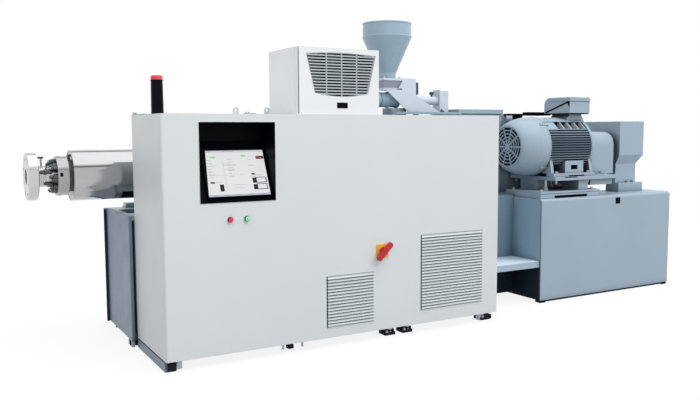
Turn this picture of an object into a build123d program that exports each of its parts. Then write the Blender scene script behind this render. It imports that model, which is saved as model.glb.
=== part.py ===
from build123d import *
import math
import os

# Plastic extruder line: control cabinet in front, barrel behind it, drive at the right end.
# Millimetres. While a piece is being made, X runs from the cabinet's left side towards the
# drive, Y from the cabinet's front towards the back and Z up from the floor. The finished
# pieces are shifted so that the origin lies on the floor under the middle of the machine.

# Driving dimensions: cabinet
CABINET_LENGTH = 2494.0
CABINET_DEPTH = 660.0
CABINET_HEIGHT = 1450.0
CABINET_FLOOR_GAP = 66.0
CABINET_EDGE = 14.0
CABINET_FOOT_RADIUS = 30.0
CABINET_FOOT_INSET = 90.0
MODULE_SPLIT_X = 1663.0
MODULE_FOOT_OFFSET = 74.0
SKID_WIDTH = 50.0
SKID_GAP = 10.0
SKID_FRONT = 35.0

# Screen recess and screen
RECESS_LEFT = 227.0
RECESS_WIDTH = 480.0
RECESS_BOTTOM = 923.0
RECESS_HEIGHT = 476.0
RECESS_DEPTH = 210.0
RECESS_SILL_DEPTH = 42.0
RECESS_WALL = 4.0
BEZEL_LAP = 1.5
BEZEL_PROUD = 3.0
SCREEN_TILT = 25.0
SCREEN_LEFT = 284.0
SCREEN_WIDTH = 410.0
SCREEN_HEIGHT = 312.0
SCREEN_LIFT = 16.0
SCREEN_THICKNESS = 24.0
SCREEN_FRAME = 6.0
SCREEN_FRAME_PROUD = 3.0

# Ventilation grilles in the cabinet's front
VENT_PITCH = 21.2
VENT_PROUD = 8.0
VENT_FRAME = 11.0
VENT_BORDER = 4.0
SMALL_VENT_LEFT = 1063.0
SMALL_VENT_BOTTOM = 66.0
SMALL_VENT_WIDTH = 356.0
SMALL_VENT_LOUVRES = 16
LARGE_VENT_LEFT = 1803.0
LARGE_VENT_BOTTOM = 94.0
LARGE_VENT_WIDTH = 545.0
LARGE_VENT_LOUVRES = 25

# Push buttons and main switch
BUTTON_HEIGHT = 818.0
RED_BUTTON_X = 410.0
GREEN_BUTTON_X = 517.0
BUTTON_RADIUS = 11.0
BUTTON_CLEARANCE = 0.5
BUTTON_PROUD = 13.0
BUTTON_TRAVEL = 4.0
BUTTON_INSIDE = 6.0
COLLAR_RADIUS = 17.0
COLLAR_PROUD = 7.0
SWITCH_X = 1483.0
SWITCH_Z = 540.0
SWITCH_PLATE = 92.0
SWITCH_PLATE_THICKNESS = 5.0
SWITCH_BOSS_RADIUS = 34.0
SWITCH_BOSS = 9.0
SWITCH_SHAFT_RADIUS = 8.0
SWITCH_SHAFT_CLEARANCE = 0.08
SWITCH_SHAFT_INSIDE = 25.0
SWITCH_HUB_RADIUS = 30.0
SWITCH_HUB = 12.0
SWITCH_GRIP_LENGTH = 150.0
SWITCH_GRIP_WIDTH = 34.0
SWITCH_GRIP = 26.0
SWITCH_ANGLE = 45.0
RUNNING_GAP = 0.5

# On the cabinet's top
BEACON_X = 80.0
BEACON_Y = 330.0
BEACON_RADIUS = 35.5
BEACON_FOOT_RADIUS = 37.5
BEACON_HEIGHT = 208.0
BEACON_CAP = 27.0
COOLER_LEFT = 869.0
COOLER_FRONT = 8.0
COOLER_WIDTH = 598.0
COOLER_DEPTH = 438.0
COOLER_HEIGHT = 416.0
COOLER_EDGE = 8.0
COOLER_GRILLE_MIDDLE = 1185.0
COOLER_GRILLE_TOP = 510.0
COOLER_GRILLE_BOTTOM = 392.0
COOLER_GRILLE_HEIGHT = 245.0
COOLER_GRILLE_BASE = 134.0
COOLER_LOUVRES = 15
COOLER_GRILLE_CROWN = 22.0
COOLER_GRILLE_ARCH = 11.0
COOLER_SLOT = 0.52
COOLER_BORDER = 3.0
COOLER_GRILLE_INSET = 2.0
COOLER_RIBS = 3
COOLER_RIB_LEFT = 203.0
COOLER_RIB_SPACING = 110.5
COOLER_RIB_WIDTH = 7.0
LUG_WIDTH = 36.0
LUG_HEIGHT = 58.0
LUG_THICKNESS = 14.0
LUG_HOLE = 11.0
LUG_Y = 600.0
LUG_XS = (693.0, 922.0)

# Base
BASE_LEFT = -35.0
BASE_RIGHT = 4250.0
BASE_BACK = 1320.0
BASE_TOP = 867.0
BASE_FLOOR_GAP = 40.0
BASE_PANEL = 20.0
BASE_STEP_INSET = 77.0
BASE_FOOT_X_SPACES = 3
BASE_TRENCH_LEFT = 10.0
BASE_TRENCH_FRONT = 190.0
BASE_TRENCH_BACK = 190.0
BASE_TRENCH_DEPTH = 90.0
BASE_CORNER_GAP = 16.0
BASE_FLANGE = 30.0
FOOT_RADIUS = 34.0
FOOT_INSET = 62.0
SHELF_FRONT = 264.0
SHELF_TOP = 346.0
SHELF_THICKNESS = 51.0
DRIVE_LEFT = 3158.0
DRIVE_RIGHT = 4715.0
DRIVE_FRONT = 246.0
DRIVE_TOP = 851.0
DRIVE_FLOOR_GAP = 22.0
PANEL_BEND = 24.0
PANEL_THICKNESS = 8.0
PANEL_LIP = 70.0
LATCH_SIZE = 52.0
LATCH_PROUD = 4.0
LATCH_X = 4040.0

# Barrel and outlet
AXIS_Y = 980.0
AXIS_Z = 1126.0
COVER_RADIUS = 167.0
COVER_WALL = 3.0
COVER_LEFT = -332.0
COVER_MOUTH = 60.0
BARREL_RADIUS = 105.0
BARREL_RIGHT = 1850.0
CLAMP_RADIUS = 127.7
CLAMP_LEFT = -423.0
CLAMP_THICKNESS = 69.0
NECK_RADIUS = 68.0
NECK_GROOVE = 5.0
NECK_GROOVES = 4
OUTLET_LEFT = -601.0
OUTLET_THICKNESS = 61.0
OUTLET_RADIUS = 153.5
OUTLET_BORE = 50.0
OUTLET_PCD = 240.0
OUTLET_HOLES = 8
OUTLET_HOLE_RADIUS = 11.0
STUD_RADIUS = 10.0
STUD_PCD = 188.0
STUDS = 8
NUT_ACROSS_FLATS = 32.0
NUT_THICKNESS = 22.0
SADDLE_WIDTH = 180.0
SADDLE_HALF = 125.0
SADDLE_XS = (520.0, 1300.0)
REST_PLATE_LEFT = 78.0
REST_PLATE_LENGTH = 300.0
REST_PLATE_DEPTH = 85.0
REST_PLATE_HEIGHT = 34.0
REST_PLATE_BACK_GAP = 10.0
REST_PLATE_SLANT = 12.0

# Feed section, metering unit and hopper, stacked upwards from the feed housing
FEED_LEFT = 1850.0
FEED_RIGHT = 2400.0
FEED_HALF = 150.0
FEED_TOP = 1530.0
FEED_CASTING_LEFT = 2150.0
FEED_CASTING_RIGHT = 2285.0
FEED_CASTING_HALF = 75.0
FEED_CASTING_HEIGHT = 62.0
METER_RADIUS = 60.0
METER_RING = 7.0
METER_LEFT = 1980.0
METER_SEAM = 2142.0
INLET_HALF = 76.0
INLET_THICKNESS = 16.0
INLET_LIFT = 10.0
HOPPER_X = 2146.0
TRANSITION_HEIGHT = 58.0
TRANSITION_BOTTOM = 150.0
FLANGE_PLATE = 178.0
FLANGE_THICKNESS = 20.0
HOPPER_NECK_RADIUS = 72.0
HOPPER_NECK = 39.0
HOPPER_CONE = 291.0
HOPPER_CYLINDER = 110.0
HOPPER_RADIUS = 195.0
HOPPER_WALL = 4.0
HOPPER_BEAD = 6.0
METER_BOX_RIGHT = 2370.0
METER_BOX_HALF = 90.0
METER_BOX_LIFT = 38.0
METER_COVER = 28.0
METER_COVER_INSET = 6.0
METER_COVER_HEIGHT = 98.0
DRIVE_TUBE_RADIUS = 37.0
FEED_GEAR_LEFT = 2647.0
FEED_GEAR_RIGHT = 2735.0
FEED_GEAR_HALF = 43.0
FEED_GEAR_RISE = 81.0
FEED_GEAR_DROP = 103.0
FEED_GEAR_FLANGE = 8.0
BRACKET_THICKNESS = 8.0
BRACKET_LEFT = 2077.0
BRACKET_KNEE = 2368.0
BRACKET_ELBOW = 2460.0
BRACKET_RIGHT = 2607.0
BRACKET_FOOT_LEFT = 2291.0
TRAY_LEFT = 2122.0
TRAY_FRONT = 800.0
TRAY_DEPTH = 45.0
TRAY_BOTTOM = 1542.0
TRAY_HEIGHT = 18.0

# Reduction gearbox behind the cabinet
GEARBOX_LEFT = 2780.0
GEARBOX_RIGHT = 3240.0
GEARBOX_FRONT = 850.0
GEARBOX_BACK = 1240.0
GEARBOX_TOP = 1550.0
GEARBOX_PLATE = 36.0
END_COVER_RIGHT = 3320.0
END_COVER_INSET = 20.0
BEARING_RADIUS = 46.0
BEARING_RIGHT = 3520.0
BEARING_Z = 1500.0
PLINTH_RIGHT = 4225.0
PLINTH_FRONT = 870.0
PLINTH_BACK = 1180.0
PLINTH_TOP = 1004.0
STOOL_LENGTH = 160.0
GEARBOX_PLATE_LAP = 12.0
INPUT_Z = 1326.0
INPUT_RADIUS = 120.0
SNOUT_RADIUS = 126.0

# Transfer box at the drive end
TRANSFER_LEFT = 4267.0
TRANSFER_RIGHT = 4578.0
TRANSFER_FRONT = 439.0
TRANSFER_BACK = 1180.0
TRANSFER_TOP = 1482.0
TRANSFER_BOTTOM = 1180.0
TAPER_HEIGHT = 80.0
COLUMN_INSET = 41.0
COLUMN_RIGHT_INSET = 50.0
COLUMN_DEPTH = 105.0
PEDESTAL_TOP = 931.0

# Motor
MOTOR_Y = 571.0
MOTOR_Z = 1272.0
SHAFT_HEIGHT = 250.0
MOTOR_CORE_RADIUS = 172.0
MOTOR_FIN_RADIUS = 244.0
MOTOR_LEFT = 3325.0
MOTOR_RIGHT = 3806.0
FINS = 15
FIN_PITCH = 20.4
FIN_THICKNESS = 7.0
FIN_WEBS = 6
FIN_WEB_SPACING = 80.0
FIN_WEB_LEFT = 3366.0
FIN_WEB_THICKNESS = 10.0
FIN_WEB_REACH = 200.0
FIN_WEB_LOW = 140.0
FIN_WEB_TOP = 214.0
FIN_WEB_FLAT = 115.0
TOP_BAND_WALL = 9.0
SHIELD_RADIUS = 232.0
SHIELD_STEP = 70.0
SHIELD_RIGHT = 3920.0
COWL_RADIUS = 246.0
COWL_LEFT = 3072.0
COWL_DOME = 215.0
COWL_FACE_RADIUS = 172.0
COWL_WALL = 5.0
COWL_PLAY = 0.3
COWL_SPIGOT = 30.0
COWL_STEPS = 8
COWL_ROUNDNESS = 1.6
GRILLE_THICKNESS = 6.0
GRILLE_RINGS = 5
GRILLE_BAND = 9.0
GRILLE_SPOKES = 10
GRILLE_SPOKE_WIDTH = 12.0
FAN_RADIUS = 150.0
FAN_LEFT = 3112.0
FAN_WIDTH = 70.0
FAN_BLADES = 8
FAN_SHAFT_RADIUS = 22.0
FAN_SHAFT_CLEARANCE = 0.08
FAN_SHAFT_END_GAP = 10.0
FAN_BLADE_THICKNESS = 6.0
TERMINAL_LEFT = 3622.0
TERMINAL_WIDTH = 236.0
TERMINAL_FRONT = 420.0
TERMINAL_DEPTH = 300.0
TERMINAL_BOTTOM = 1552.0
TERMINAL_HEIGHT = 118.0
TERMINAL_BACK_ROUND = 60.0
TERMINAL_LID = 16.0
TERMINAL_LID_LAP = 6.0
TERMINAL_NECK_INSET = 45.0
TERMINAL_NECK_FLARE = 34.0
TERMINAL_NECK_FOOT = 50.0
FOOT_BAR_LEFT = 3345.0
FOOT_BAR_RIGHT = 3820.0
FOOT_BAR_HEIGHT = 28.0
FOOT_BAR_WIDTH = 84.0
FOOT_BAR_REACH = 262.0
FOOT_WEB_WIDTH = 30.0
FOOT_CASTING_LEFT = 3500.0
FOOT_CASTING_WIDTH = 210.0
FOOT_CASTING_HEIGHT = 130.0
FOOT_WINDOW_WIDTH = 76.0
FOOT_WINDOW_HEIGHT = 38.0
PLATE_LEFT = 3338.0
PLATE_RIGHT = 4080.0
PLATE_FRONT = 284.0
PLATE_BACK = 835.0
PLATE_THICKNESS = 30.0
GIRDER_LEFT = 3780.0
GIRDER_RIGHT = 4045.0
GIRDER_INSET = 36.0
GIRDER_HEIGHT = 52.0
SPACER_WIDTH = 108.0
SPACER_DEPTH = 190.0
SPACER_WALL = 40.0
SPACER_LEFT = 3340.0
SPACER_BACK_Y = 507.0
SPACER_RIGHT_LEFT = 3634.0
SPACER_FRONT_Y = 312.0
RAIL_LEFT = 3180.0
RAIL_RIGHT = 3857.0
RAIL_FRONT = 284.0
RAIL_BACK = 700.0
RAIL_TOP = 906.0
RAIL_SLAB = 34.0
RAIL_SLOT_LEFT = 3334.0
RAIL_SLOT_RIGHT = 3706.0
GUARD_LEFT = 3931.0
GUARD_RIGHT = 4206.0
GUARD_HALF = 119.0
GUARD_FLANGE = 22.0
GUARD_FLANGE_THICKNESS = 10.0
DUCT_LEFT = 3290.0
DUCT_RIGHT = 3700.0
DUCT_BOTTOM = 1536.0
DUCT_HEIGHT = 16.0
DUCT_BOX_LEFT = 3506.0
DUCT_BOX_HEIGHT = 31.0
DUCT_DEPTH = 80.0
DUCT_DROP_LEFT = 3374.0
DUCT_DROP_RIGHT = 3449.0
DUCT_DROP = 33.0

# Places worked out from the driving dimensions
CABINET_TOP = CABINET_FLOOR_GAP + CABINET_HEIGHT
PLATE_TOP = MOTOR_Z - SHAFT_HEIGHT
PLATE_BOTTOM = PLATE_TOP - PLATE_THICKNESS
BASE_STEP_FRONT = CABINET_DEPTH - BASE_STEP_INSET
METER_Z = FEED_TOP + FEED_CASTING_HEIGHT + METER_RADIUS + METER_RING
INLET_BOTTOM = METER_Z + METER_RADIUS + METER_RING + INLET_LIFT
TRANSITION_LOW = INLET_BOTTOM + INLET_THICKNESS
FLANGE_TOP = TRANSITION_LOW + TRANSITION_HEIGHT + FLANGE_THICKNESS
CONE_BOTTOM = FLANGE_TOP + HOPPER_NECK
CONE_TOP = CONE_BOTTOM + HOPPER_CONE
HOPPER_TOP = CONE_TOP + HOPPER_CYLINDER
METER_BOX_LEFT = HOPPER_X + FLANGE_PLATE / 2
BRACKET_BACK = AXIS_Y - METER_BOX_HALF
BRACKET_FRONT = BRACKET_BACK - BRACKET_THICKNESS
TERMINAL_RIGHT = TERMINAL_LEFT + TERMINAL_WIDTH
TERMINAL_BACK = TERMINAL_FRONT + TERMINAL_DEPTH
TERMINAL_TOP = TERMINAL_BOTTOM + TERMINAL_HEIGHT + TERMINAL_LID
SWITCH_FRONT = -(SWITCH_PLATE_THICKNESS + SWITCH_BOSS + RUNNING_GAP + SWITCH_HUB + SWITCH_GRIP)
CENTRE_X = (OUTLET_LEFT + DRIVE_RIGHT) / 2
CENTRE_Y = (SWITCH_FRONT + BASE_BACK) / 2


def block(x0, x1, y0, y1, z0, z1):
    """A box between two corners."""
    middle = Pos((x0 + x1) / 2, (y0 + y1) / 2, (z0 + z1) / 2)
    return middle * Box(x1 - x0, y1 - y0, z1 - z0)


def rod_x(radius, x0, x1, y, z):
    """A round bar along X."""
    return Pos((x0 + x1) / 2, y, z) * Rot(0, 90, 0) * Cylinder(radius, x1 - x0)


def rod_y(radius, x, y0, y1, z):
    """A round bar along Y."""
    return Pos(x, (y0 + y1) / 2, z) * Rot(90, 0, 0) * Cylinder(radius, y1 - y0)


def rod_z(radius, x, y, z0, z1):
    """A round bar along Z."""
    return Pos(x, y, (z0 + z1) / 2) * Cylinder(radius, z1 - z0)


def section_x(points, x0, x1):
    """A closed outline of (y, z) points, extruded along X."""
    outline = make_face(Polyline(*[(x0, y, z) for y, z in points], close=True))
    return extrude(outline, amount=x1 - x0, dir=(1, 0, 0))


def section_y(points, y0, y1):
    """A closed outline of (x, z) points, extruded along Y."""
    outline = make_face(Polyline(*[(x, y0, z) for x, z in points], close=True))
    return extrude(outline, amount=y1 - y0, dir=(0, 1, 0))


def turned_x(points, y, z):
    """A closed outline of (x, radius) points, turned about an axis along X."""
    outline = make_face(Polyline(*[(x, y + r, z) for x, r in points], close=True))
    return revolve(outline, Axis((0, y, z), (1, 0, 0)), 360)


# Cabinet

def recess_outline(inset):
    """The screen recess seen from the side: a sill, a sloping back and an upright back."""
    bottom = CABINET_FLOOR_GAP + RECESS_BOTTOM + inset
    top = CABINET_FLOOR_GAP + RECESS_BOTTOM + RECESS_HEIGHT - inset
    sill = RECESS_SILL_DEPTH - inset
    back = RECESS_DEPTH - inset
    slope_top = bottom + (back - sill) / math.tan(math.radians(SCREEN_TILT))
    return [(0, bottom), (sill, bottom), (back, slope_top), (back, top), (0, top)]


def vent_pocket(left, bottom, width, louvres):
    """The shallow pocket that a ventilation grille's back stands in."""
    base = CABINET_FLOOR_GAP + bottom
    height = louvres * VENT_PITCH
    return block(left, left + width, 0, VENT_FRAME, base, base + height)


def cabinet_shell():
    body = block(0, CABINET_LENGTH, 0, CABINET_DEPTH, CABINET_FLOOR_GAP, CABINET_TOP)
    upright = body.edges().filter_by(Axis.Z)
    body = fillet(upright, CABINET_EDGE)
    right = RECESS_LEFT + RECESS_WIDTH
    body -= section_x(recess_outline(0), RECESS_LEFT, right)
    body -= vent_pocket(SMALL_VENT_LEFT, SMALL_VENT_BOTTOM, SMALL_VENT_WIDTH, SMALL_VENT_LOUVRES)
    body -= vent_pocket(LARGE_VENT_LEFT, LARGE_VENT_BOTTOM, LARGE_VENT_WIDTH, LARGE_VENT_LOUVRES)
    pocket = BUTTON_INSIDE + BUTTON_TRAVEL + RUNNING_GAP
    height = CABINET_FLOOR_GAP + BUTTON_HEIGHT
    for x in (RED_BUTTON_X, GREEN_BUTTON_X):
        body -= rod_y(BUTTON_RADIUS + BUTTON_CLEARANCE, x, 0, pocket, height)
    depth = SWITCH_SHAFT_INSIDE + RUNNING_GAP
    bore = SWITCH_SHAFT_RADIUS + SWITCH_SHAFT_CLEARANCE
    body -= rod_y(bore, SWITCH_X, 0, depth, CABINET_FLOOR_GAP + SWITCH_Z)
    return body


def recess_liner():
    right = RECESS_LEFT + RECESS_WIDTH
    bottom = CABINET_FLOOR_GAP + RECESS_BOTTOM
    top = bottom + RECESS_HEIGHT
    liner = section_x(recess_outline(0), RECESS_LEFT, right)
    bezel = block(RECESS_LEFT - BEZEL_LAP, right + BEZEL_LAP, -BEZEL_PROUD, 0,
                  bottom - BEZEL_LAP, top + BEZEL_LAP)
    inside = recess_outline(RECESS_WALL)
    inside[0] = (-BEZEL_PROUD, inside[0][1])
    inside[-1] = (-BEZEL_PROUD, inside[-1][1])
    return liner + bezel - section_x(inside, RECESS_LEFT + RECESS_WALL, right - RECESS_WALL)


def screen_place():
    """The lower front edge of the screen's back, on the sloping back of the recess."""
    bottom = CABINET_FLOOR_GAP + RECESS_BOTTOM + RECESS_WALL
    return Pos(SCREEN_LEFT + SCREEN_WIDTH / 2, RECESS_SILL_DEPTH - RECESS_WALL, bottom) \
        * Rot(-SCREEN_TILT, 0, 0)


def touch_screen():
    panel = Pos(0, -SCREEN_THICKNESS / 2, SCREEN_LIFT + SCREEN_HEIGHT / 2) \
        * Box(SCREEN_WIDTH, SCREEN_THICKNESS, SCREEN_HEIGHT)
    glass = Pos(0, -SCREEN_THICKNESS, SCREEN_LIFT + SCREEN_HEIGHT / 2) \
        * Box(SCREEN_WIDTH - 2 * SCREEN_FRAME, 2 * SCREEN_FRAME_PROUD,
              SCREEN_HEIGHT - 2 * SCREEN_FRAME)
    return screen_place() * (panel - glass)


def louvre_grille(left, bottom, width, louvres):
    """A narrow border with a stack of outward sloping louvres, open below each louvre."""
    base = CABINET_FLOOR_GAP + bottom
    height = louvres * VENT_PITCH
    inner_left = left + VENT_BORDER
    inner_right = left + width - VENT_BORDER
    low = base + VENT_BORDER
    high = base + height - VENT_BORDER
    frame = block(left, left + width, 0, VENT_FRAME, base, base + height)
    frame -= block(inner_left, inner_right, 0, VENT_FRAME, low, high)
    pitch = (high - low) / louvres
    outline = [(VENT_FRAME, low), (VENT_FRAME, high), (VENT_FRAME / 2, high)]
    for row in range(louvres):
        z = high - (row + 1) * pitch
        outline += [(-VENT_PROUD, z + pitch / 3), (0, z + pitch / 6), (VENT_FRAME / 2, z)]
    return frame + section_x(outline, inner_left, inner_right)


def small_vent_grille():
    return louvre_grille(SMALL_VENT_LEFT, SMALL_VENT_BOTTOM, SMALL_VENT_WIDTH, SMALL_VENT_LOUVRES)


def large_vent_grille():
    return louvre_grille(LARGE_VENT_LEFT, LARGE_VENT_BOTTOM, LARGE_VENT_WIDTH, LARGE_VENT_LOUVRES)


def button_collars():
    height = CABINET_FLOOR_GAP + BUTTON_HEIGHT
    collars = Part()
    for x in (RED_BUTTON_X, GREEN_BUTTON_X):
        ring = rod_y(COLLAR_RADIUS, x, -COLLAR_PROUD, 0, height)
        ring -= rod_y(BUTTON_RADIUS + BUTTON_CLEARANCE, x, -COLLAR_PROUD, 0, height)
        collars += ring
    return collars


def push_button(x):
    height = CABINET_FLOOR_GAP + BUTTON_HEIGHT
    cap = rod_y(BUTTON_RADIUS, x, -BUTTON_PROUD, BUTTON_INSIDE, height)
    front = cap.edges().group_by(Axis.Y)[0]
    return fillet(front, BUTTON_RADIUS / 6)


def red_button():
    return push_button(RED_BUTTON_X)


def green_button():
    return push_button(GREEN_BUTTON_X)


def switch_plate():
    z = CABINET_FLOOR_GAP + SWITCH_Z
    half = SWITCH_PLATE / 2
    plate = block(SWITCH_X - half, SWITCH_X + half, -SWITCH_PLATE_THICKNESS, 0, z - half, z + half)
    plate = fillet(plate.edges().filter_by(Axis.Y), half / 8)
    boss_front = -(SWITCH_PLATE_THICKNESS + SWITCH_BOSS)
    plate += rod_y(SWITCH_BOSS_RADIUS, SWITCH_X, boss_front, -SWITCH_PLATE_THICKNESS, z)
    return plate - rod_y(SWITCH_SHAFT_RADIUS + SWITCH_SHAFT_CLEARANCE, SWITCH_X, boss_front, 0, z)


def switch_handle():
    """Hub, grip and shaft, with the grip set at its angle from upright."""
    hub_back = -(SWITCH_PLATE_THICKNESS + SWITCH_BOSS + RUNNING_GAP)
    hub_front = hub_back - SWITCH_HUB
    handle = rod_y(SWITCH_HUB_RADIUS, 0, hub_front, hub_back, 0)
    handle += rod_y(SWITCH_SHAFT_RADIUS, 0, hub_back, SWITCH_SHAFT_INSIDE, 0)
    half = SWITCH_GRIP_WIDTH / 2
    grip = block(-half, half, SWITCH_FRONT, hub_front,
                 -SWITCH_GRIP_LENGTH / 2, SWITCH_GRIP_LENGTH / 2)
    grip = fillet(grip.edges().filter_by(Axis.Y), half / 1.5)
    front = grip.faces().sort_by(Axis.Y)[0]
    grip = fillet(front.edges(), SWITCH_GRIP / 5)
    place = Pos(SWITCH_X, 0, CABINET_FLOOR_GAP + SWITCH_Z) * Rot(0, SWITCH_ANGLE, 0)
    return place * (handle + grip)


def cabinet_feet():
    feet = Part()
    xs = (CABINET_FOOT_INSET, MODULE_SPLIT_X - MODULE_FOOT_OFFSET,
          MODULE_SPLIT_X + MODULE_FOOT_OFFSET, CABINET_LENGTH - CABINET_FOOT_INSET)
    for x in xs:
        for y in (CABINET_FOOT_INSET, CABINET_DEPTH - CABINET_FOOT_INSET):
            feet += rod_z(CABINET_FOOT_RADIUS, x, y, 0, CABINET_FLOOR_GAP)
    return feet


def cabinet_skid():
    beam = block(0, SKID_WIDTH, SKID_FRONT, CABINET_DEPTH, 0, CABINET_FLOOR_GAP - SKID_GAP)
    return beam + block(SKID_GAP, SKID_WIDTH, SKID_FRONT, CABINET_DEPTH,
                        CABINET_FLOOR_GAP - SKID_GAP, CABINET_FLOOR_GAP)


# On the cabinet's top

def beacon_column():
    top = CABINET_TOP + BEACON_HEIGHT
    return Pos(BEACON_X, BEACON_Y, (CABINET_TOP + top) / 2) \
        * Cone(BEACON_FOOT_RADIUS, BEACON_RADIUS, BEACON_HEIGHT)


def beacon_cap():
    base = CABINET_TOP + BEACON_HEIGHT
    cap = rod_z(BEACON_RADIUS, BEACON_X, BEACON_Y, base, base + BEACON_CAP)
    return fillet(cap.edges().sort_by(Axis.Z)[-1], BEACON_CAP / 3)


def cooler_grille_plate(shrink, front, back):
    """The tapered grille area, wide at the top, with a crowned top and bottom."""
    middle = COOLER_GRILLE_MIDDLE
    low = CABINET_TOP + COOLER_GRILLE_BASE + shrink
    high = low + COOLER_GRILLE_HEIGHT - 2 * shrink
    top = COOLER_GRILLE_TOP / 2 - shrink
    bottom = COOLER_GRILLE_BOTTOM / 2 - shrink
    corners = [(middle - bottom, front, low), (middle + bottom, front, low),
               (middle + top, front, high), (middle - top, front, high)]
    edges = [ThreePointArc(corners[0], (middle, front, low - COOLER_GRILLE_CROWN), corners[1]),
             Line(corners[1], corners[2]),
             ThreePointArc(corners[2], (middle, front, high + COOLER_GRILLE_ARCH), corners[3]),
             Line(corners[3], corners[0])]
    return extrude(make_face(edges), amount=back - front, dir=(0, 1, 0))


def cooling_unit():
    back = COOLER_FRONT + COOLER_DEPTH
    right = COOLER_LEFT + COOLER_WIDTH
    body = block(COOLER_LEFT, right, COOLER_FRONT, back, CABINET_TOP, CABINET_TOP + COOLER_HEIGHT)
    body = fillet(body.edges().filter_by(Axis.Z), COOLER_EDGE)
    return body - cooler_grille_plate(0, COOLER_FRONT, COOLER_FRONT + VENT_FRAME)


def cooling_unit_grille():
    """Slats across the grille area, held by a border and upright ribs."""
    front = COOLER_FRONT + COOLER_GRILLE_INSET
    back = COOLER_FRONT + VENT_FRAME / 2
    plate = cooler_grille_plate(1, front, back)
    openings = cooler_grille_plate(1 + COOLER_BORDER, front, back)
    height = COOLER_GRILLE_HEIGHT + COOLER_GRILLE_CROWN + COOLER_GRILLE_ARCH
    low = CABINET_TOP + COOLER_GRILLE_BASE - COOLER_GRILLE_CROWN
    pitch = height / COOLER_LOUVRES
    right = COOLER_LEFT + COOLER_WIDTH
    slots = Part()
    for row in range(COOLER_LOUVRES):
        z = low + (row + (1 - COOLER_SLOT) / 2) * pitch
        slots += block(COOLER_LEFT, right, front, back, z, z + pitch * COOLER_SLOT)
    for rib in range(COOLER_RIBS):
        x = COOLER_LEFT + COOLER_RIB_LEFT + rib * COOLER_RIB_SPACING
        slots -= block(x, x + COOLER_RIB_WIDTH, front, back, low, low + height)
    return plate - (slots & openings)


def lifting_lugs():
    lugs = Part()
    for x in LUG_XS:
        half = LUG_WIDTH / 2
        lug = block(x - half, x + half, LUG_Y, LUG_Y + LUG_THICKNESS, CABINET_TOP,
                    CABINET_TOP + LUG_HEIGHT)
        top_corners = lug.edges().filter_by(Axis.Y).group_by(Axis.Z)[-1]
        lug = fillet(top_corners, half * 0.9)
        hole_z = CABINET_TOP + LUG_HEIGHT - half
        lugs += lug - rod_y(LUG_HOLE, x, LUG_Y, LUG_Y + LUG_THICKNESS, hole_z)
    return lugs


# Base

def base_frame():
    """The main frame, open on top along the barrel, with a slot beside its end panel."""
    left = BASE_LEFT + BASE_PANEL
    body = block(left, BASE_RIGHT, CABINET_DEPTH, BASE_BACK, BASE_FLOOR_GAP, BASE_TOP)
    body -= block(BASE_TRENCH_LEFT, FEED_LEFT - BASE_PANEL, CABINET_DEPTH + BASE_TRENCH_FRONT,
                  BASE_BACK - BASE_TRENCH_BACK, BASE_TOP - BASE_TRENCH_DEPTH, BASE_TOP)
    return body - block(left, left + BASE_CORNER_GAP, CABINET_DEPTH, CABINET_DEPTH + BASE_FLANGE,
                        BASE_FLOOR_GAP, BASE_TOP - BASE_FLANGE)


def base_side_box():
    box = block(CABINET_LENGTH, DRIVE_LEFT, BASE_STEP_FRONT, CABINET_DEPTH,
                BASE_FLOOR_GAP, BASE_TOP)
    corner = box.edges().filter_by(Axis.X).group_by(Axis.Y)[0].sort_by(Axis.Z)[-1]
    return fillet(corner, PANEL_BEND)


def base_end_panel():
    panel = block(BASE_LEFT, BASE_LEFT + BASE_PANEL, CABINET_DEPTH, BASE_BACK,
                  BASE_FLOOR_GAP, BASE_TOP)
    return fillet(panel.edges().filter_by(Axis.Y).group_by(Axis.X)[0], BASE_PANEL / 3)


def drive_base():
    front = DRIVE_FRONT + PANEL_THICKNESS
    body = block(DRIVE_LEFT, DRIVE_RIGHT, front, CABINET_DEPTH, DRIVE_FLOOR_GAP,
                 DRIVE_TOP - PANEL_THICKNESS)
    top = block(DRIVE_LEFT, DRIVE_RIGHT, DRIVE_FRONT + PANEL_LIP, CABINET_DEPTH,
                DRIVE_TOP - PANEL_THICKNESS, DRIVE_TOP)
    corner = body.edges().filter_by(Axis.X).group_by(Axis.Y)[0].sort_by(Axis.Z)[-1]
    return fillet(corner, PANEL_BEND - PANEL_THICKNESS) + top


def drive_base_panel():
    """A front sheet bent back over the top of the drive base."""
    outer = block(DRIVE_LEFT, DRIVE_RIGHT, DRIVE_FRONT, DRIVE_FRONT + PANEL_LIP,
                  DRIVE_FLOOR_GAP, DRIVE_TOP)
    bend = outer.edges().filter_by(Axis.X).group_by(Axis.Y)[0].sort_by(Axis.Z)[-1]
    outer = fillet(bend, PANEL_BEND)
    inner = block(DRIVE_LEFT, DRIVE_RIGHT, DRIVE_FRONT + PANEL_THICKNESS,
                  DRIVE_FRONT + PANEL_LIP, DRIVE_FLOOR_GAP, DRIVE_TOP - PANEL_THICKNESS)
    bend = inner.edges().filter_by(Axis.X).group_by(Axis.Y)[0].sort_by(Axis.Z)[-1]
    return outer - fillet(bend, PANEL_BEND - PANEL_THICKNESS)


def panel_latch():
    half = LATCH_SIZE / 2
    z = DRIVE_TOP - PANEL_BEND - LATCH_SIZE
    return block(LATCH_X - half, LATCH_X + half, DRIVE_FRONT - LATCH_PROUD, DRIVE_FRONT,
                 z, z + LATCH_SIZE)


def service_shelf():
    return block(CABINET_LENGTH, DRIVE_LEFT, SHELF_FRONT, BASE_STEP_FRONT,
                 SHELF_TOP - SHELF_THICKNESS, SHELF_TOP)


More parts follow.
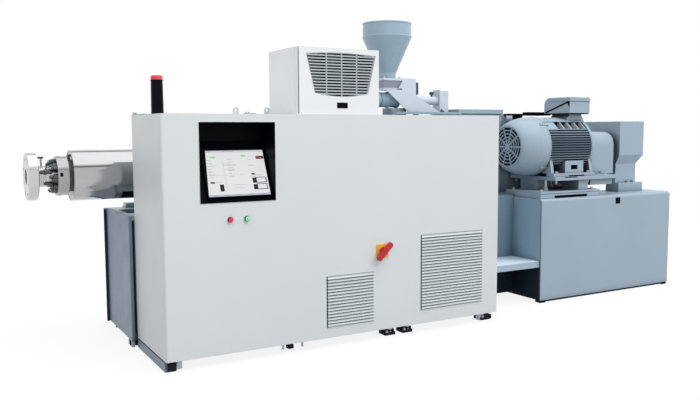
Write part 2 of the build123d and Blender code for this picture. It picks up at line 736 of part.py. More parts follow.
def base_feet():
    feet = Part()
    span = (BASE_RIGHT - BASE_LEFT - 2 * FOOT_INSET) / BASE_FOOT_X_SPACES
    for place in range(BASE_FOOT_X_SPACES + 1):
        x = BASE_LEFT + FOOT_INSET + place * span
        for y in (CABINET_DEPTH + FOOT_INSET, BASE_BACK - FOOT_INSET):
            feet += rod_z(FOOT_RADIUS, x, y, 0, BASE_FLOOR_GAP)
    for x in (DRIVE_LEFT + FOOT_INSET, DRIVE_RIGHT - FOOT_INSET):
        feet += rod_z(FOOT_RADIUS, x, DRIVE_FRONT + FOOT_INSET, 0, DRIVE_FLOOR_GAP)
    return feet


# Barrel and outlet

def barrel_cover():
    outer = rod_x(COVER_RADIUS, COVER_LEFT, BARREL_RIGHT, AXIS_Y, AXIS_Z)
    inner = rod_x(COVER_RADIUS - COVER_WALL, COVER_LEFT, BARREL_RIGHT, AXIS_Y, AXIS_Z)
    return outer - inner


def extruder_barrel():
    """The barrel, with the heater bands filling the cover behind its open mouth."""
    clamp_right = CLAMP_LEFT + CLAMP_THICKNESS
    bands_left = COVER_LEFT + COVER_MOUTH
    core = rod_x(BARREL_RADIUS, clamp_right, bands_left, AXIS_Y, AXIS_Z)
    return core + rod_x(COVER_RADIUS - COVER_WALL, bands_left, BARREL_RIGHT, AXIS_Y, AXIS_Z)


def barrel_flange():
    return rod_x(CLAMP_RADIUS, CLAMP_LEFT, CLAMP_LEFT + CLAMP_THICKNESS, AXIS_Y, AXIS_Z)


def adapter_neck():
    left = OUTLET_LEFT + OUTLET_THICKNESS
    neck = rod_x(NECK_RADIUS, left, CLAMP_LEFT, AXIS_Y, AXIS_Z)
    pitch = (CLAMP_LEFT - left) / (2 * NECK_GROOVES + 1)
    for ring in range(NECK_GROOVES):
        x = left + (2 * ring + 1) * pitch / 2
        groove = rod_x(NECK_RADIUS, x, x + pitch / 2, AXIS_Y, AXIS_Z)
        groove -= rod_x(NECK_RADIUS - NECK_GROOVE, x, x + pitch / 2, AXIS_Y, AXIS_Z)
        neck -= groove
    return neck


def outlet_flange():
    right = OUTLET_LEFT + OUTLET_THICKNESS
    disc = rod_x(OUTLET_RADIUS, OUTLET_LEFT, right, AXIS_Y, AXIS_Z)
    disc = chamfer(disc.edges().filter_by(GeomType.CIRCLE), OUTLET_THICKNESS / 20)
    disc -= rod_x(OUTLET_BORE, OUTLET_LEFT, right, AXIS_Y, AXIS_Z)
    for hole in range(OUTLET_HOLES):
        turn = math.radians(360 / OUTLET_HOLES * (hole + 0.5))
        y = AXIS_Y + OUTLET_PCD / 2 * math.cos(turn)
        z = AXIS_Z + OUTLET_PCD / 2 * math.sin(turn)
        disc -= rod_x(OUTLET_HOLE_RADIUS, OUTLET_LEFT, right, y, z)
    return disc


def clamp_bolts():
    """Hexagon nuts and stud ends in front of the barrel flange."""
    bolts = Part()
    for stud in range(STUDS):
        turn = math.radians(360 / STUDS * stud)
        y = AXIS_Y + STUD_PCD / 2 * math.cos(turn)
        z = AXIS_Z + STUD_PCD / 2 * math.sin(turn)
        nut = Pos(CLAMP_LEFT - NUT_THICKNESS, y, z) * Rot(0, 90, 0) \
            * extrude(RegularPolygon(NUT_ACROSS_FLATS / 2, 6, major_radius=False),
                      amount=NUT_THICKNESS)
        shank = rod_x(STUD_RADIUS, CLAMP_LEFT - 2 * NUT_THICKNESS, CLAMP_LEFT - NUT_THICKNESS, y, z)
        bolts += nut + shank
    return bolts


def barrel_saddles():
    """Two saddles standing in the open top of the base, and a low rest plate at the back."""
    floor = BASE_TOP - BASE_TRENCH_DEPTH
    left = REST_PLATE_LEFT
    right = left + REST_PLATE_LENGTH
    top = BASE_TOP + REST_PLATE_HEIGHT
    outline = [(left, BASE_TOP), (right, BASE_TOP), (right, top), (left + REST_PLATE_SLANT, top)]
    back = BASE_BACK - REST_PLATE_BACK_GAP
    saddles = Part() + section_y(outline, back - REST_PLATE_DEPTH, back)
    for x in SADDLE_XS:
        left = x - SADDLE_WIDTH / 2
        right = x + SADDLE_WIDTH / 2
        saddle = block(left, right, AXIS_Y - SADDLE_HALF, AXIS_Y + SADDLE_HALF, floor,
                       AXIS_Z - COVER_RADIUS / 2)
        saddles += saddle - rod_x(COVER_RADIUS, left, right, AXIS_Y, AXIS_Z)
    return saddles


# Feed section, metering unit and hopper

def feed_housing():
    """The feed section of the barrel, with the metering unit's casting on top."""
    housing = block(FEED_LEFT, FEED_RIGHT, AXIS_Y - FEED_HALF, AXIS_Y + FEED_HALF,
                    BASE_TOP, FEED_TOP)
    return housing + block(FEED_CASTING_LEFT, FEED_CASTING_RIGHT, AXIS_Y - FEED_CASTING_HALF,
                           AXIS_Y + FEED_CASTING_HALF, FEED_TOP, FEED_TOP + FEED_CASTING_HEIGHT)


def metering_tube():
    tube = rod_x(METER_RADIUS, METER_LEFT, METER_BOX_LEFT, AXIS_Y, METER_Z)
    for x in (METER_LEFT, METER_SEAM, METER_BOX_LEFT - METER_RING):
        tube += rod_x(METER_RADIUS + METER_RING, x, x + METER_RING, AXIS_Y, METER_Z)
    return tube


def metering_box():
    """The box beside the hopper's flange, and the inlet plate under the hopper."""
    box = block(METER_BOX_LEFT, METER_BOX_RIGHT, AXIS_Y - METER_BOX_HALF,
                AXIS_Y + METER_BOX_HALF, METER_Z + METER_BOX_LIFT, FLANGE_TOP)
    return box + block(HOPPER_X - INLET_HALF, METER_BOX_LEFT, AXIS_Y - INLET_HALF,
                       AXIS_Y + INLET_HALF, INLET_BOTTOM, TRANSITION_LOW)


def metering_box_cover():
    half = METER_BOX_HALF - METER_COVER_INSET
    low = METER_Z + METER_BOX_LIFT + METER_COVER_INSET
    return block(METER_BOX_RIGHT, METER_BOX_RIGHT + METER_COVER, AXIS_Y - half, AXIS_Y + half,
                 low, low + METER_COVER_HEIGHT)


def feeder_bracket():
    """The slanted plate that carries the metering unit's box and drive."""
    outline = [(BRACKET_LEFT, INLET_BOTTOM), (METER_BOX_LEFT, INLET_BOTTOM),
               (BRACKET_KNEE, METER_Z + DRIVE_TUBE_RADIUS),
               (BRACKET_ELBOW, METER_Z - DRIVE_TUBE_RADIUS / 2),
               (BRACKET_RIGHT, TRAY_BOTTOM + TRAY_HEIGHT),
               (BRACKET_FOOT_LEFT, TRAY_BOTTOM + TRAY_HEIGHT)]
    return section_y(outline, BRACKET_FRONT, BRACKET_BACK)


def cable_tray():
    """A tray behind the cabinet from the feed section to the gearbox, on two posts."""
    right = GEARBOX_LEFT - GEARBOX_PLATE_LAP
    back = TRAY_FRONT + TRAY_DEPTH
    tray = block(TRAY_LEFT, right, TRAY_FRONT, back, TRAY_BOTTOM, TRAY_BOTTOM + TRAY_HEIGHT)
    for x in (TRAY_LEFT + TRAY_DEPTH, FEED_RIGHT - 2 * TRAY_DEPTH):
        tray += block(x, x + TRAY_DEPTH, AXIS_Y - FEED_HALF, back, FEED_TOP, TRAY_BOTTOM)
    return tray


def hopper():
    outer = [(HOPPER_NECK_RADIUS, FLANGE_TOP), (HOPPER_NECK_RADIUS, CONE_BOTTOM),
             (HOPPER_RADIUS + HOPPER_BEAD, CONE_TOP), (HOPPER_RADIUS, CONE_TOP + HOPPER_BEAD),
             (HOPPER_RADIUS, HOPPER_TOP)]
    inner = [(HOPPER_RADIUS - HOPPER_WALL, HOPPER_TOP),
             (HOPPER_RADIUS - HOPPER_WALL, CONE_TOP + HOPPER_BEAD),
             (HOPPER_NECK_RADIUS - HOPPER_WALL, CONE_BOTTOM + HOPPER_BEAD),
             (HOPPER_NECK_RADIUS - HOPPER_WALL, FLANGE_TOP)]
    points = [(HOPPER_X + r, AXIS_Y, z) for r, z in outer + inner]
    wall = make_face(Polyline(*points, close=True))
    return revolve(wall, Axis((HOPPER_X, AXIS_Y, 0), (0, 0, 1)), 360)


def hopper_flange():
    half = FLANGE_PLATE / 2
    underside = FLANGE_TOP - FLANGE_THICKNESS
    plate = block(HOPPER_X - half, HOPPER_X + half, AXIS_Y - half, AXIS_Y + half,
                  underside, FLANGE_TOP)
    bottom = Pos(HOPPER_X, AXIS_Y, TRANSITION_LOW) * Rectangle(TRANSITION_BOTTOM,
                                                               TRANSITION_BOTTOM)
    reach = FLANGE_PLATE - FLANGE_THICKNESS / 2
    upper = Pos(HOPPER_X, AXIS_Y, underside) * Rectangle(reach, reach)
    taper = loft([bottom.face(), upper.face()])
    bore = HOPPER_NECK_RADIUS - HOPPER_WALL
    return plate + taper - rod_z(bore, HOPPER_X, AXIS_Y, underside, FLANGE_TOP)


def metering_drive():
    """The drive tube under the box, with the gear motor at its end."""
    tube = rod_x(DRIVE_TUBE_RADIUS, METER_BOX_LEFT, FEED_GEAR_LEFT, AXIS_Y, METER_Z)
    low = METER_Z - FEED_GEAR_DROP
    high = METER_Z + FEED_GEAR_RISE
    gear = block(FEED_GEAR_LEFT, FEED_GEAR_RIGHT, AXIS_Y - FEED_GEAR_HALF,
                 AXIS_Y + FEED_GEAR_HALF, low, high)
    half = FEED_GEAR_HALF + FEED_GEAR_FLANGE
    return tube + gear + block(FEED_GEAR_LEFT - FEED_GEAR_FLANGE, FEED_GEAR_LEFT,
                               AXIS_Y - half, AXIS_Y + half, low, high + FEED_GEAR_FLANGE)


# Reduction gearbox

def reduction_gearbox():
    body = block(GEARBOX_LEFT, GEARBOX_RIGHT, GEARBOX_FRONT, GEARBOX_BACK,
                 BASE_TOP, GEARBOX_TOP)
    snout = rod_x(SNOUT_RADIUS, FEED_RIGHT, GEARBOX_LEFT, AXIS_Y, AXIS_Z)
    return body + snout


def gearbox_end_cover():
    """The output end cover down to the base, with a bearing housing near its top."""
    cover = block(GEARBOX_RIGHT, END_COVER_RIGHT, GEARBOX_FRONT + END_COVER_INSET,
                  GEARBOX_BACK - END_COVER_INSET, BASE_TOP, GEARBOX_TOP)
    return cover + rod_x(BEARING_RADIUS, END_COVER_RIGHT, BEARING_RIGHT, AXIS_Y, BEARING_Z)


def gearbox_top_plate():
    lap = GEARBOX_PLATE_LAP
    return block(GEARBOX_LEFT - lap, GEARBOX_RIGHT + lap, GEARBOX_FRONT - lap,
                 GEARBOX_BACK + lap, GEARBOX_TOP, GEARBOX_TOP + GEARBOX_PLATE)


def input_shaft_cover():
    return rod_x(INPUT_RADIUS, END_COVER_RIGHT, TRANSFER_LEFT, AXIS_Y, INPUT_Z)


def shaft_plinth():
    """The plinth behind the motor, with a stool that carries the input shaft's cover."""
    stool_right = END_COVER_RIGHT + STOOL_LENGTH
    plinth = block(END_COVER_RIGHT, PLINTH_RIGHT, PLINTH_FRONT, PLINTH_BACK, BASE_TOP, PLINTH_TOP)
    plinth += block(END_COVER_RIGHT, stool_right, PLINTH_FRONT, PLINTH_BACK, PLINTH_TOP,
                    INPUT_Z - INPUT_RADIUS / 2)
    return plinth - rod_x(INPUT_RADIUS, END_COVER_RIGHT, stool_right, AXIS_Y, INPUT_Z)


# Transfer box

def transfer_box():
    box = block(TRANSFER_LEFT, TRANSFER_RIGHT, TRANSFER_FRONT, TRANSFER_BACK,
                TRANSFER_BOTTOM, TRANSFER_TOP)
    column_right = TRANSFER_RIGHT - COLUMN_RIGHT_INSET
    column_front = TRANSFER_FRONT + COLUMN_INSET
    depth = COLUMN_DEPTH + COLUMN_INSET
    upper = Pos((TRANSFER_LEFT + TRANSFER_RIGHT) / 2, TRANSFER_FRONT + depth / 2,
                TRANSFER_BOTTOM) * Rectangle(TRANSFER_RIGHT - TRANSFER_LEFT, depth)
    lower = Pos((TRANSFER_LEFT + column_right) / 2, column_front + COLUMN_DEPTH / 2,
                TRANSFER_BOTTOM - TAPER_HEIGHT) * Rectangle(column_right - TRANSFER_LEFT,
                                                            COLUMN_DEPTH)
    column = block(TRANSFER_LEFT, column_right, column_front, column_front + COLUMN_DEPTH,
                   PEDESTAL_TOP, TRANSFER_BOTTOM - TAPER_HEIGHT)
    return box + loft([lower.face(), upper.face()]) + column


def pedestal_block():
    return block(TRANSFER_LEFT, TRANSFER_RIGHT, TRANSFER_FRONT,
                 TRANSFER_FRONT + COLUMN_INSET + COLUMN_DEPTH, DRIVE_TOP, PEDESTAL_TOP)


# Motor

def motor_body():
    """The finned barrel between its two ends, with webs and a band across the top."""
    core = rod_x(MOTOR_CORE_RADIUS, MOTOR_LEFT, MOTOR_RIGHT, MOTOR_Y, MOTOR_Z)
    envelope = rod_x(MOTOR_FIN_RADIUS, MOTOR_LEFT, MOTOR_RIGHT, MOTOR_Y, MOTOR_Z)
    front = MOTOR_Y - MOTOR_FIN_RADIUS
    back = MOTOR_Y + MOTOR_FIN_RADIUS
    fins = Part()
    for fin in range(FINS):
        z = MOTOR_Z + (fin - (FINS - 1) / 2) * FIN_PITCH
        fins += block(MOTOR_LEFT, MOTOR_RIGHT, front, back, z - FIN_THICKNESS / 2,
                      z + FIN_THICKNESS / 2)
    low = MOTOR_Z + FIN_WEB_LOW
    top = MOTOR_Z + FIN_WEB_TOP
    outline = [(MOTOR_Y - FIN_WEB_REACH, low), (MOTOR_Y + FIN_WEB_REACH, low),
               (MOTOR_Y + FIN_WEB_FLAT, top), (MOTOR_Y - FIN_WEB_FLAT, top)]
    for web in range(FIN_WEBS):
        x = FIN_WEB_LEFT + web * FIN_WEB_SPACING
        fins += section_x(outline, x, x + FIN_WEB_THICKNESS)
    band = rod_x(MOTOR_FIN_RADIUS, MOTOR_LEFT, MOTOR_RIGHT, MOTOR_Y, MOTOR_Z)
    band -= rod_x(MOTOR_FIN_RADIUS - TOP_BAND_WALL, MOTOR_LEFT, MOTOR_RIGHT, MOTOR_Y, MOTOR_Z)
    band &= block(MOTOR_LEFT, MOTOR_RIGHT, front, back, MOTOR_Z + FIN_WEB_TOP - TOP_BAND_WALL,
                  MOTOR_Z + MOTOR_FIN_RADIUS)
    return core + (fins & envelope) + band


def motor_neck():
    """The flared neck under the terminal box."""
    left = TERMINAL_LEFT + TERMINAL_NECK_INSET
    right = TERMINAL_RIGHT - TERMINAL_NECK_INSET
    high = TERMINAL_BOTTOM - TERMINAL_LID
    low = high - TERMINAL_NECK_FOOT
    outline = [(left, TERMINAL_BOTTOM), (right, TERMINAL_BOTTOM), (right, high),
               (right + TERMINAL_NECK_FLARE, low), (right + TERMINAL_NECK_FLARE, MOTOR_Z),
               (left - TERMINAL_NECK_FLARE, MOTOR_Z), (left - TERMINAL_NECK_FLARE, low),
               (left, high)]
    return section_y(outline, TERMINAL_FRONT + TERMINAL_NECK_FOOT,
                     TERMINAL_BACK - TERMINAL_NECK_FOOT)


def motor_feet():
    """Bars on the plate, webs up to the barrel, and a windowed casting in the middle."""
    bar_top = PLATE_TOP + FOOT_BAR_HEIGHT
    window_low = bar_top + FOOT_BAR_HEIGHT
    feet = Part()
    for side in (-1, 1):
        outer = MOTOR_Y + side * FOOT_BAR_REACH
        inner = outer - side * FOOT_BAR_WIDTH
        feet += block(FOOT_BAR_LEFT, FOOT_BAR_RIGHT, min(outer, inner), max(outer, inner),
                      PLATE_TOP, bar_top)
        web = [(outer - side * FOOT_BAR_HEIGHT, bar_top),
               (inner + side * FOOT_BAR_HEIGHT, MOTOR_Z - MOTOR_CORE_RADIUS / 2),
               (MOTOR_Y, MOTOR_Z - MOTOR_CORE_RADIUS / 2), (MOTOR_Y, bar_top)]
        for x in (FOOT_BAR_LEFT, FOOT_BAR_RIGHT - FOOT_WEB_WIDTH):
            feet += section_x(web, x, x + FOOT_WEB_WIDTH)
    reach = FOOT_BAR_REACH - FOOT_BAR_HEIGHT
    right = FOOT_CASTING_LEFT + FOOT_CASTING_WIDTH
    casting = block(FOOT_CASTING_LEFT, right, MOTOR_Y - reach, MOTOR_Y + reach, bar_top,
                    PLATE_TOP + FOOT_CASTING_HEIGHT)
    middle = (FOOT_CASTING_LEFT + right) / 2
    for side in (-1, 1):
        y = MOTOR_Y + side * reach
        window = block(middle - FOOT_WINDOW_WIDTH / 2, middle + FOOT_WINDOW_WIDTH / 2,
                       min(y, y - side * FOOT_BAR_WIDTH), max(y, y - side * FOOT_BAR_WIDTH),
                       window_low, window_low + FOOT_WINDOW_HEIGHT)
        casting -= window
    return feet + casting


def motor_frame():
    spigot = MOTOR_LEFT - COWL_SPIGOT
    frame = motor_body() + motor_neck() + motor_feet()
    frame += rod_x(COWL_RADIUS - COWL_WALL, spigot, MOTOR_LEFT, MOTOR_Y, MOTOR_Z)
    shield = [(MOTOR_RIGHT, 0), (MOTOR_RIGHT, SHIELD_RADIUS),
              (MOTOR_RIGHT + COWL_SPIGOT, SHIELD_RADIUS),
              (SHIELD_RIGHT, SHIELD_RADIUS - SHIELD_STEP), (SHIELD_RIGHT, 0)]
    frame += turned_x(shield, MOTOR_Y, MOTOR_Z)
    bore = FAN_SHAFT_RADIUS + FAN_SHAFT_CLEARANCE
    return frame - rod_x(bore, spigot, MOTOR_LEFT + COWL_SPIGOT + FAN_SHAFT_END_GAP, MOTOR_Y,
                         MOTOR_Z)


def cowl_profile(smaller):
    """Points (x, radius) from the intake's rim over the dome to the full radius."""
    points = []
    for step in range(COWL_STEPS + 1):
        across = 1 - (step / COWL_STEPS) ** 2
        rise = (1 - across ** COWL_ROUNDNESS) ** (1 / COWL_ROUNDNESS)
        radius = COWL_FACE_RADIUS + (COWL_RADIUS - COWL_FACE_RADIUS) * rise
        points.append((COWL_LEFT + COWL_DOME * (1 - across), radius - smaller))
    return points


def fan_cowl():
    """A domed sheet cowl, open at the intake and where it slips over the end shield."""
    outer = cowl_profile(0)
    inner = cowl_profile(COWL_WALL - COWL_PLAY)[1:]
    lip = COWL_LEFT + GRILLE_THICKNESS
    rim = COWL_FACE_RADIUS - COWL_WALL
    points = outer + [(MOTOR_LEFT, COWL_RADIUS)]
    points += [(MOTOR_LEFT, COWL_RADIUS - COWL_WALL + COWL_PLAY)]
    points += [(x, radius) for x, radius in reversed(inner) if x > lip + COWL_WALL]
    return turned_x(points + [(lip, rim), (COWL_LEFT, rim)], MOTOR_Y, MOTOR_Z)


def fan_grille():
    """Concentric rings joined by spokes."""
    right = COWL_LEFT + GRILLE_THICKNESS
    reach = COWL_FACE_RADIUS - COWL_WALL
    grille = rod_x(reach / 6, COWL_LEFT, right, MOTOR_Y, MOTOR_Z)
    for ring in range(GRILLE_RINGS):
        outer = reach * (ring + 2) / (GRILLE_RINGS + 1)
        band = rod_x(outer, COWL_LEFT, right, MOTOR_Y, MOTOR_Z)
        grille += band - rod_x(outer - GRILLE_BAND, COWL_LEFT, right, MOTOR_Y, MOTOR_Z)
    disc = rod_x(reach, COWL_LEFT, right, MOTOR_Y, MOTOR_Z)
    for spoke in range(GRILLE_SPOKES // 2):
        bar = Pos((COWL_LEFT + right) / 2, MOTOR_Y, MOTOR_Z) \
            * Rot(180 / (GRILLE_SPOKES // 2) * spoke, 0, 0) \
            * Box(GRILLE_THICKNESS, 2 * reach, GRILLE_SPOKE_WIDTH)
        grille += bar & disc
    return grille


def motor_fan():
    right = FAN_LEFT + FAN_WIDTH
    fan = rod_x(FAN_SHAFT_RADIUS * 2, FAN_LEFT, right, MOTOR_Y, MOTOR_Z)
    for blade in range(FAN_BLADES):
        fan += Pos((FAN_LEFT + right) / 2, MOTOR_Y, MOTOR_Z) \
            * Rot(360 / FAN_BLADES * blade, 0, 0) \
            * Pos(0, FAN_RADIUS / 2, 0) * Box(FAN_WIDTH, FAN_RADIUS, FAN_BLADE_THICKNESS)
    return fan + rod_x(FAN_SHAFT_RADIUS, right, MOTOR_LEFT + COWL_SPIGOT, MOTOR_Y, MOTOR_Z)


def terminal_box():
    """The box on the motor's neck, rounded at the top of its back, with a rimmed lid."""
    box = block(TERMINAL_LEFT, TERMINAL_RIGHT, TERMINAL_FRONT, TERMINAL_BACK, TERMINAL_BOTTOM,
                TERMINAL_TOP)
    back_top = box.edges().filter_by(Axis.X).group_by(Axis.Y)[-1].sort_by(Axis.Z)[-1]
    box = fillet(back_top, TERMINAL_BACK_ROUND)
    lap = TERMINAL_LID_LAP
    rim = TERMINAL_TOP - 2 * TERMINAL_LID
    return box + block(TERMINAL_LEFT - lap, TERMINAL_RIGHT + lap, TERMINAL_FRONT - lap,
                       TERMINAL_BACK - TERMINAL_BACK_ROUND, rim, rim + TERMINAL_LID)


def motor_plate():
    """The plate that carries the motor and its guard, with a girder under its right part."""
    plate = block(PLATE_LEFT, PLATE_RIGHT, PLATE_FRONT, PLATE_BACK, PLATE_BOTTOM, PLATE_TOP)
    return plate + block(GIRDER_LEFT, GIRDER_RIGHT, PLATE_FRONT + GIRDER_INSET,
                         PLATE_BACK - GIRDER_INSET, PLATE_BOTTOM - GIRDER_HEIGHT, PLATE_BOTTOM)


def plate_spacers():
    right = SPACER_RIGHT_LEFT + SPACER_WIDTH
    spacers = Part() + block(SPACER_LEFT, SPACER_LEFT + SPACER_WIDTH, SPACER_BACK_Y,
                             SPACER_BACK_Y + SPACER_DEPTH, RAIL_TOP, PLATE_BOTTOM)
    spacers += block(SPACER_RIGHT_LEFT, right, SPACER_FRONT_Y, SPACER_FRONT_Y + SPACER_DEPTH,
                     RAIL_TOP, PLATE_BOTTOM)
    back = SPACER_BACK_Y + SPACER_DEPTH
    return spacers + block(SPACER_LEFT + SPACER_WIDTH, right, back - SPACER_WALL, back,
                           RAIL_TOP, PLATE_BOTTOM)


def slide_rails():
    """A slab on two feet, over the step between the drive base and the main frame."""
    low = RAIL_TOP - RAIL_SLAB
    rails = block(RAIL_LEFT, RAIL_RIGHT, RAIL_FRONT, RAIL_BACK, low, RAIL_TOP)
    for left, right in ((RAIL_LEFT, RAIL_SLOT_LEFT), (RAIL_SLOT_RIGHT, RAIL_RIGHT)):
        rails += block(left, right, RAIL_FRONT, CABINET_DEPTH, DRIVE_TOP, low)
        rails += block(left, right, CABINET_DEPTH, RAIL_BACK, BASE_TOP, low)
    return rails


def coupling_guard():
    guard = block(GUARD_LEFT, GUARD_RIGHT, MOTOR_Y - GUARD_HALF, MOTOR_Y + GUARD_HALF,
                  PLATE_TOP, MOTOR_Z)
    guard += rod_x(GUARD_HALF, GUARD_LEFT, GUARD_RIGHT, MOTOR_Y, MOTOR_Z)
    half = GUARD_HALF + GUARD_FLANGE
    return guard + block(GUARD_LEFT, PLATE_RIGHT, MOTOR_Y - half, MOTOR_Y + half, PLATE_TOP,
                         PLATE_TOP + GUARD_FLANGE_THICKNESS)


def cable_duct():
    """A stepped duct from the gearbox's end cover to the back of the terminal box."""
    back = GEARBOX_FRONT + END_COVER_INSET
    front = back - DUCT_DEPTH
    top = DUCT_BOTTOM + DUCT_BOX_HEIGHT
    duct = block(DUCT_LEFT, DUCT_RIGHT, front, back, DUCT_BOTTOM, DUCT_BOTTOM + DUCT_HEIGHT)
    duct += block(DUCT_BOX_LEFT, DUCT_RIGHT, front, back, DUCT_BOTTOM, top)
    duct += block(DUCT_DROP_LEFT, DUCT_DROP_RIGHT, front + DUCT_HEIGHT, back - DUCT_HEIGHT,
                  DUCT_BOTTOM - DUCT_DROP, DUCT_BOTTOM)
    return duct + block(DUCT_RIGHT - DUCT_DEPTH / 2, DUCT_RIGHT, TERMINAL_BACK, front,
                        DUCT_BOTTOM, top)


PIECES = [
    cabinet_shell, recess_liner, touch_screen, small_vent_grille, large_vent_grille,
    button_collars, red_button, green_button, switch_plate, switch_handle, cabinet_feet,
    cabinet_skid, beacon_column, beacon_cap, cooling_unit, cooling_unit_grille, lifting_lugs,
    base_frame, base_side_box, base_end_panel, drive_base, drive_base_panel, panel_latch,
    service_shelf, base_feet, barrel_cover, extruder_barrel, barrel_flange, adapter_neck,
    outlet_flange, clamp_bolts, barrel_saddles, feed_housing, metering_tube, metering_box, metering_box_cover,
    feeder_bracket, cable_tray, hopper, hopper_flange, metering_drive, reduction_gearbox,
    gearbox_end_cover, gearbox_top_plate, input_shaft_cover, shaft_plinth,
    transfer_box, pedestal_block, motor_frame, fan_cowl, fan_grille, motor_fan, terminal_box,
    motor_plate, plate_spacers, slide_rails, coupling_guard, cable_duct,
]


def gathered(made):
    """One shape, also where a piece is several solids that don't touch."""
    if isinstance(made, list):
        return Compound(made)
    return made


os.makedirs("parts", exist_ok=True)
to_origin = Pos(-CENTRE_X, -CENTRE_Y, 0)
for piece in PIECES:
    export_step(to_origin * gathered(piece()), f"parts/{piece.__name__}.step")

print("shift from the cabinet's front left corner", -CENTRE_X, -CENTRE_Y)
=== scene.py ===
import math

import bmesh
import bpy
from mathutils import Matrix, Vector


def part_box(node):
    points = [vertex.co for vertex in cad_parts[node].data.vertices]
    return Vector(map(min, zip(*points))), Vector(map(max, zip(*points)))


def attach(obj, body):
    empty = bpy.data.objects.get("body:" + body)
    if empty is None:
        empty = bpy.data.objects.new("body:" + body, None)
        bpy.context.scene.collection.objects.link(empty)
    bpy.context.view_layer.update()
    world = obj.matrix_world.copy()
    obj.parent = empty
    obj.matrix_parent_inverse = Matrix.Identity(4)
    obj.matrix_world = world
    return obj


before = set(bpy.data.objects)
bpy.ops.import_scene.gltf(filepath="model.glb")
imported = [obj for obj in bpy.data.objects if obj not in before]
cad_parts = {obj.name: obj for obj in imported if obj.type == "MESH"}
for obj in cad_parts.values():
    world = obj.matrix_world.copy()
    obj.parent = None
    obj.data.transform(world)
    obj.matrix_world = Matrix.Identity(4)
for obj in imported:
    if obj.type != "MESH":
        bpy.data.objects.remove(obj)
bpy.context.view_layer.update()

# Places are in millimetres from the cabinet's front left corner on the floor: X towards the
# drive end, Y towards the back, Z up. They come from the boxes of the frame's nodes, and at()
# turns them into metres in the frame.
scene = bpy.context.scene
MM = 0.001
CORNER = Vector(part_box("cabinet_shell")[0])
LEFT, RIGHT, FRONT, DOWN, UP = (-1, 0, 0), (1, 0, 0), (0, -1, 0), (0, 0, -1), (0, 0, 1)

# Camera: the photograph's view, solved from the machine's straight edges
CAMERA_PLACE = (-1217.4, -4300.6, 1415.0)
CAMERA_YAW = math.radians(29.709)
CAMERA_PITCH = math.radians(5.23)
CAMERA_ROLL = math.radians(-0.2655)
CAMERA_SENSOR = 36.0
FOCUS_PIXELS = 762.3
PHOTO_WIDTH = 700.0

# Light. STUDIO is the room that metal mirrors: heights from 0, below, to 1, above, with greys
SUN_STRENGTH = 1.85
SUN_DIRECTION = (0.32, -0.48, 0.82)
SUN_ANGLE = math.radians(50)
ROOM_LIGHT = (0.86, 0.87, 0.88, 1)
FLOOR_HALF = (6.5, 3.3)
FLOOR_LIT = (0.30, 0.31, 0.33, 1)
FLOOR_SHOWN = (0.9, 0.9, 0.9, 1)
FLOOR_WHITE_SHARE = 0.87
STUDIO = ((0.0, 1.0), (0.595, 1.0), (0.61, 0.24), (0.675, 0.3), (0.78, 1.75), (1.0, 1.9))

# Surfaces
CLOUD_SCALE = 2.5
GLOSS_SCALE = 9.0
# reach of the painted shade that recess puts in gaps and corners
RECESS_SHADE_REACH = 0.15
BACKLIGHT = 0.88

# The machine's colour (sRGB, 0 to 255, as everywhere below)
MACHINE = (154, 172, 186)

# Sides of a large round, and a hexagon bolt, as shares of its width across flats
FINE = 96
WASHER_RADIUS = 0.68
WASHER_HEIGHT = 0.12
HEAD_HEIGHT = 0.6

# Screen
SCREEN_TILT = math.radians(25)
SCREEN_LIFT = 16.0
SCREEN_TALL = 312.0
SCREEN_DEPTH = 24.0
SCREEN_FACE = -21.0
SCREEN_FRAME = 6.0
IMAGE_GAP = 0.2
IMAGE_LIFT = 0.4

# The screen's picture. A tile is a tone, its left, low, right and high edges in fractions of
# the glass, and its layer where that isn't 1.
PAGE, GREY, GREEN, RED, DARK, LILAC, AMBER, MIST, CORNER_SHADE = range(9)
DISPLAY_TONES = ((232, 232, 234), (168, 171, 176), (146, 220, 162), (196, 60, 66), (38, 40, 48),
                 (196, 194, 216), (222, 188, 80), (212, 214, 220))
DISPLAY_TILES = (
    (PAGE, 0, 0, 1, 1, 0), (MIST, 0, 0.955, 1, 1), (LILAC, 0, 0, 1, 0.045),
    (GREY, 0.02, 0.972, 0.15, 0.985, 2), (GREY, 0.34, 0.972, 0.52, 0.985, 2),
    (GREEN, 0.12, 0.835, 0.20, 0.875), (GREEN, 0.62, 0.855, 0.70, 0.895),
    (DARK, 0.865, 0.80, 0.995, 0.865), (RED, 0.875, 0.81, 0.915, 0.855, 2),
    (AMBER, 0.93, 0.815, 0.955, 0.835, 2), (MIST, 0.30, 0.66, 0.52, 0.70),
    (MIST, 0.30, 0.56, 0.48, 0.59), (GREY, 0.03, 0.46, 0.62, 0.463),
    (GREY, 0.31, 0.12, 0.313, 0.80), (DARK, 0.06, 0.285, 0.13, 0.32),
    (DARK, 0.20, 0.11, 0.265, 0.26), (GREY, 0.06, 0.30, 0.25, 0.306),
    (DARK, 0.745, 0.45, 0.80, 0.485), (GREY, 0.80, 0.435, 0.90, 0.445),
    (GREY, 0.40, 0.24, 0.64, 0.246), (GREY, 0.40, 0.17, 0.60, 0.176))
VALUE_ROWS = 7
VALUE_TOP = 0.78
VALUE_PITCH = 0.062
VALUE_TALL = 0.008
KEYS = 5
KEY_PITCH = 0.19

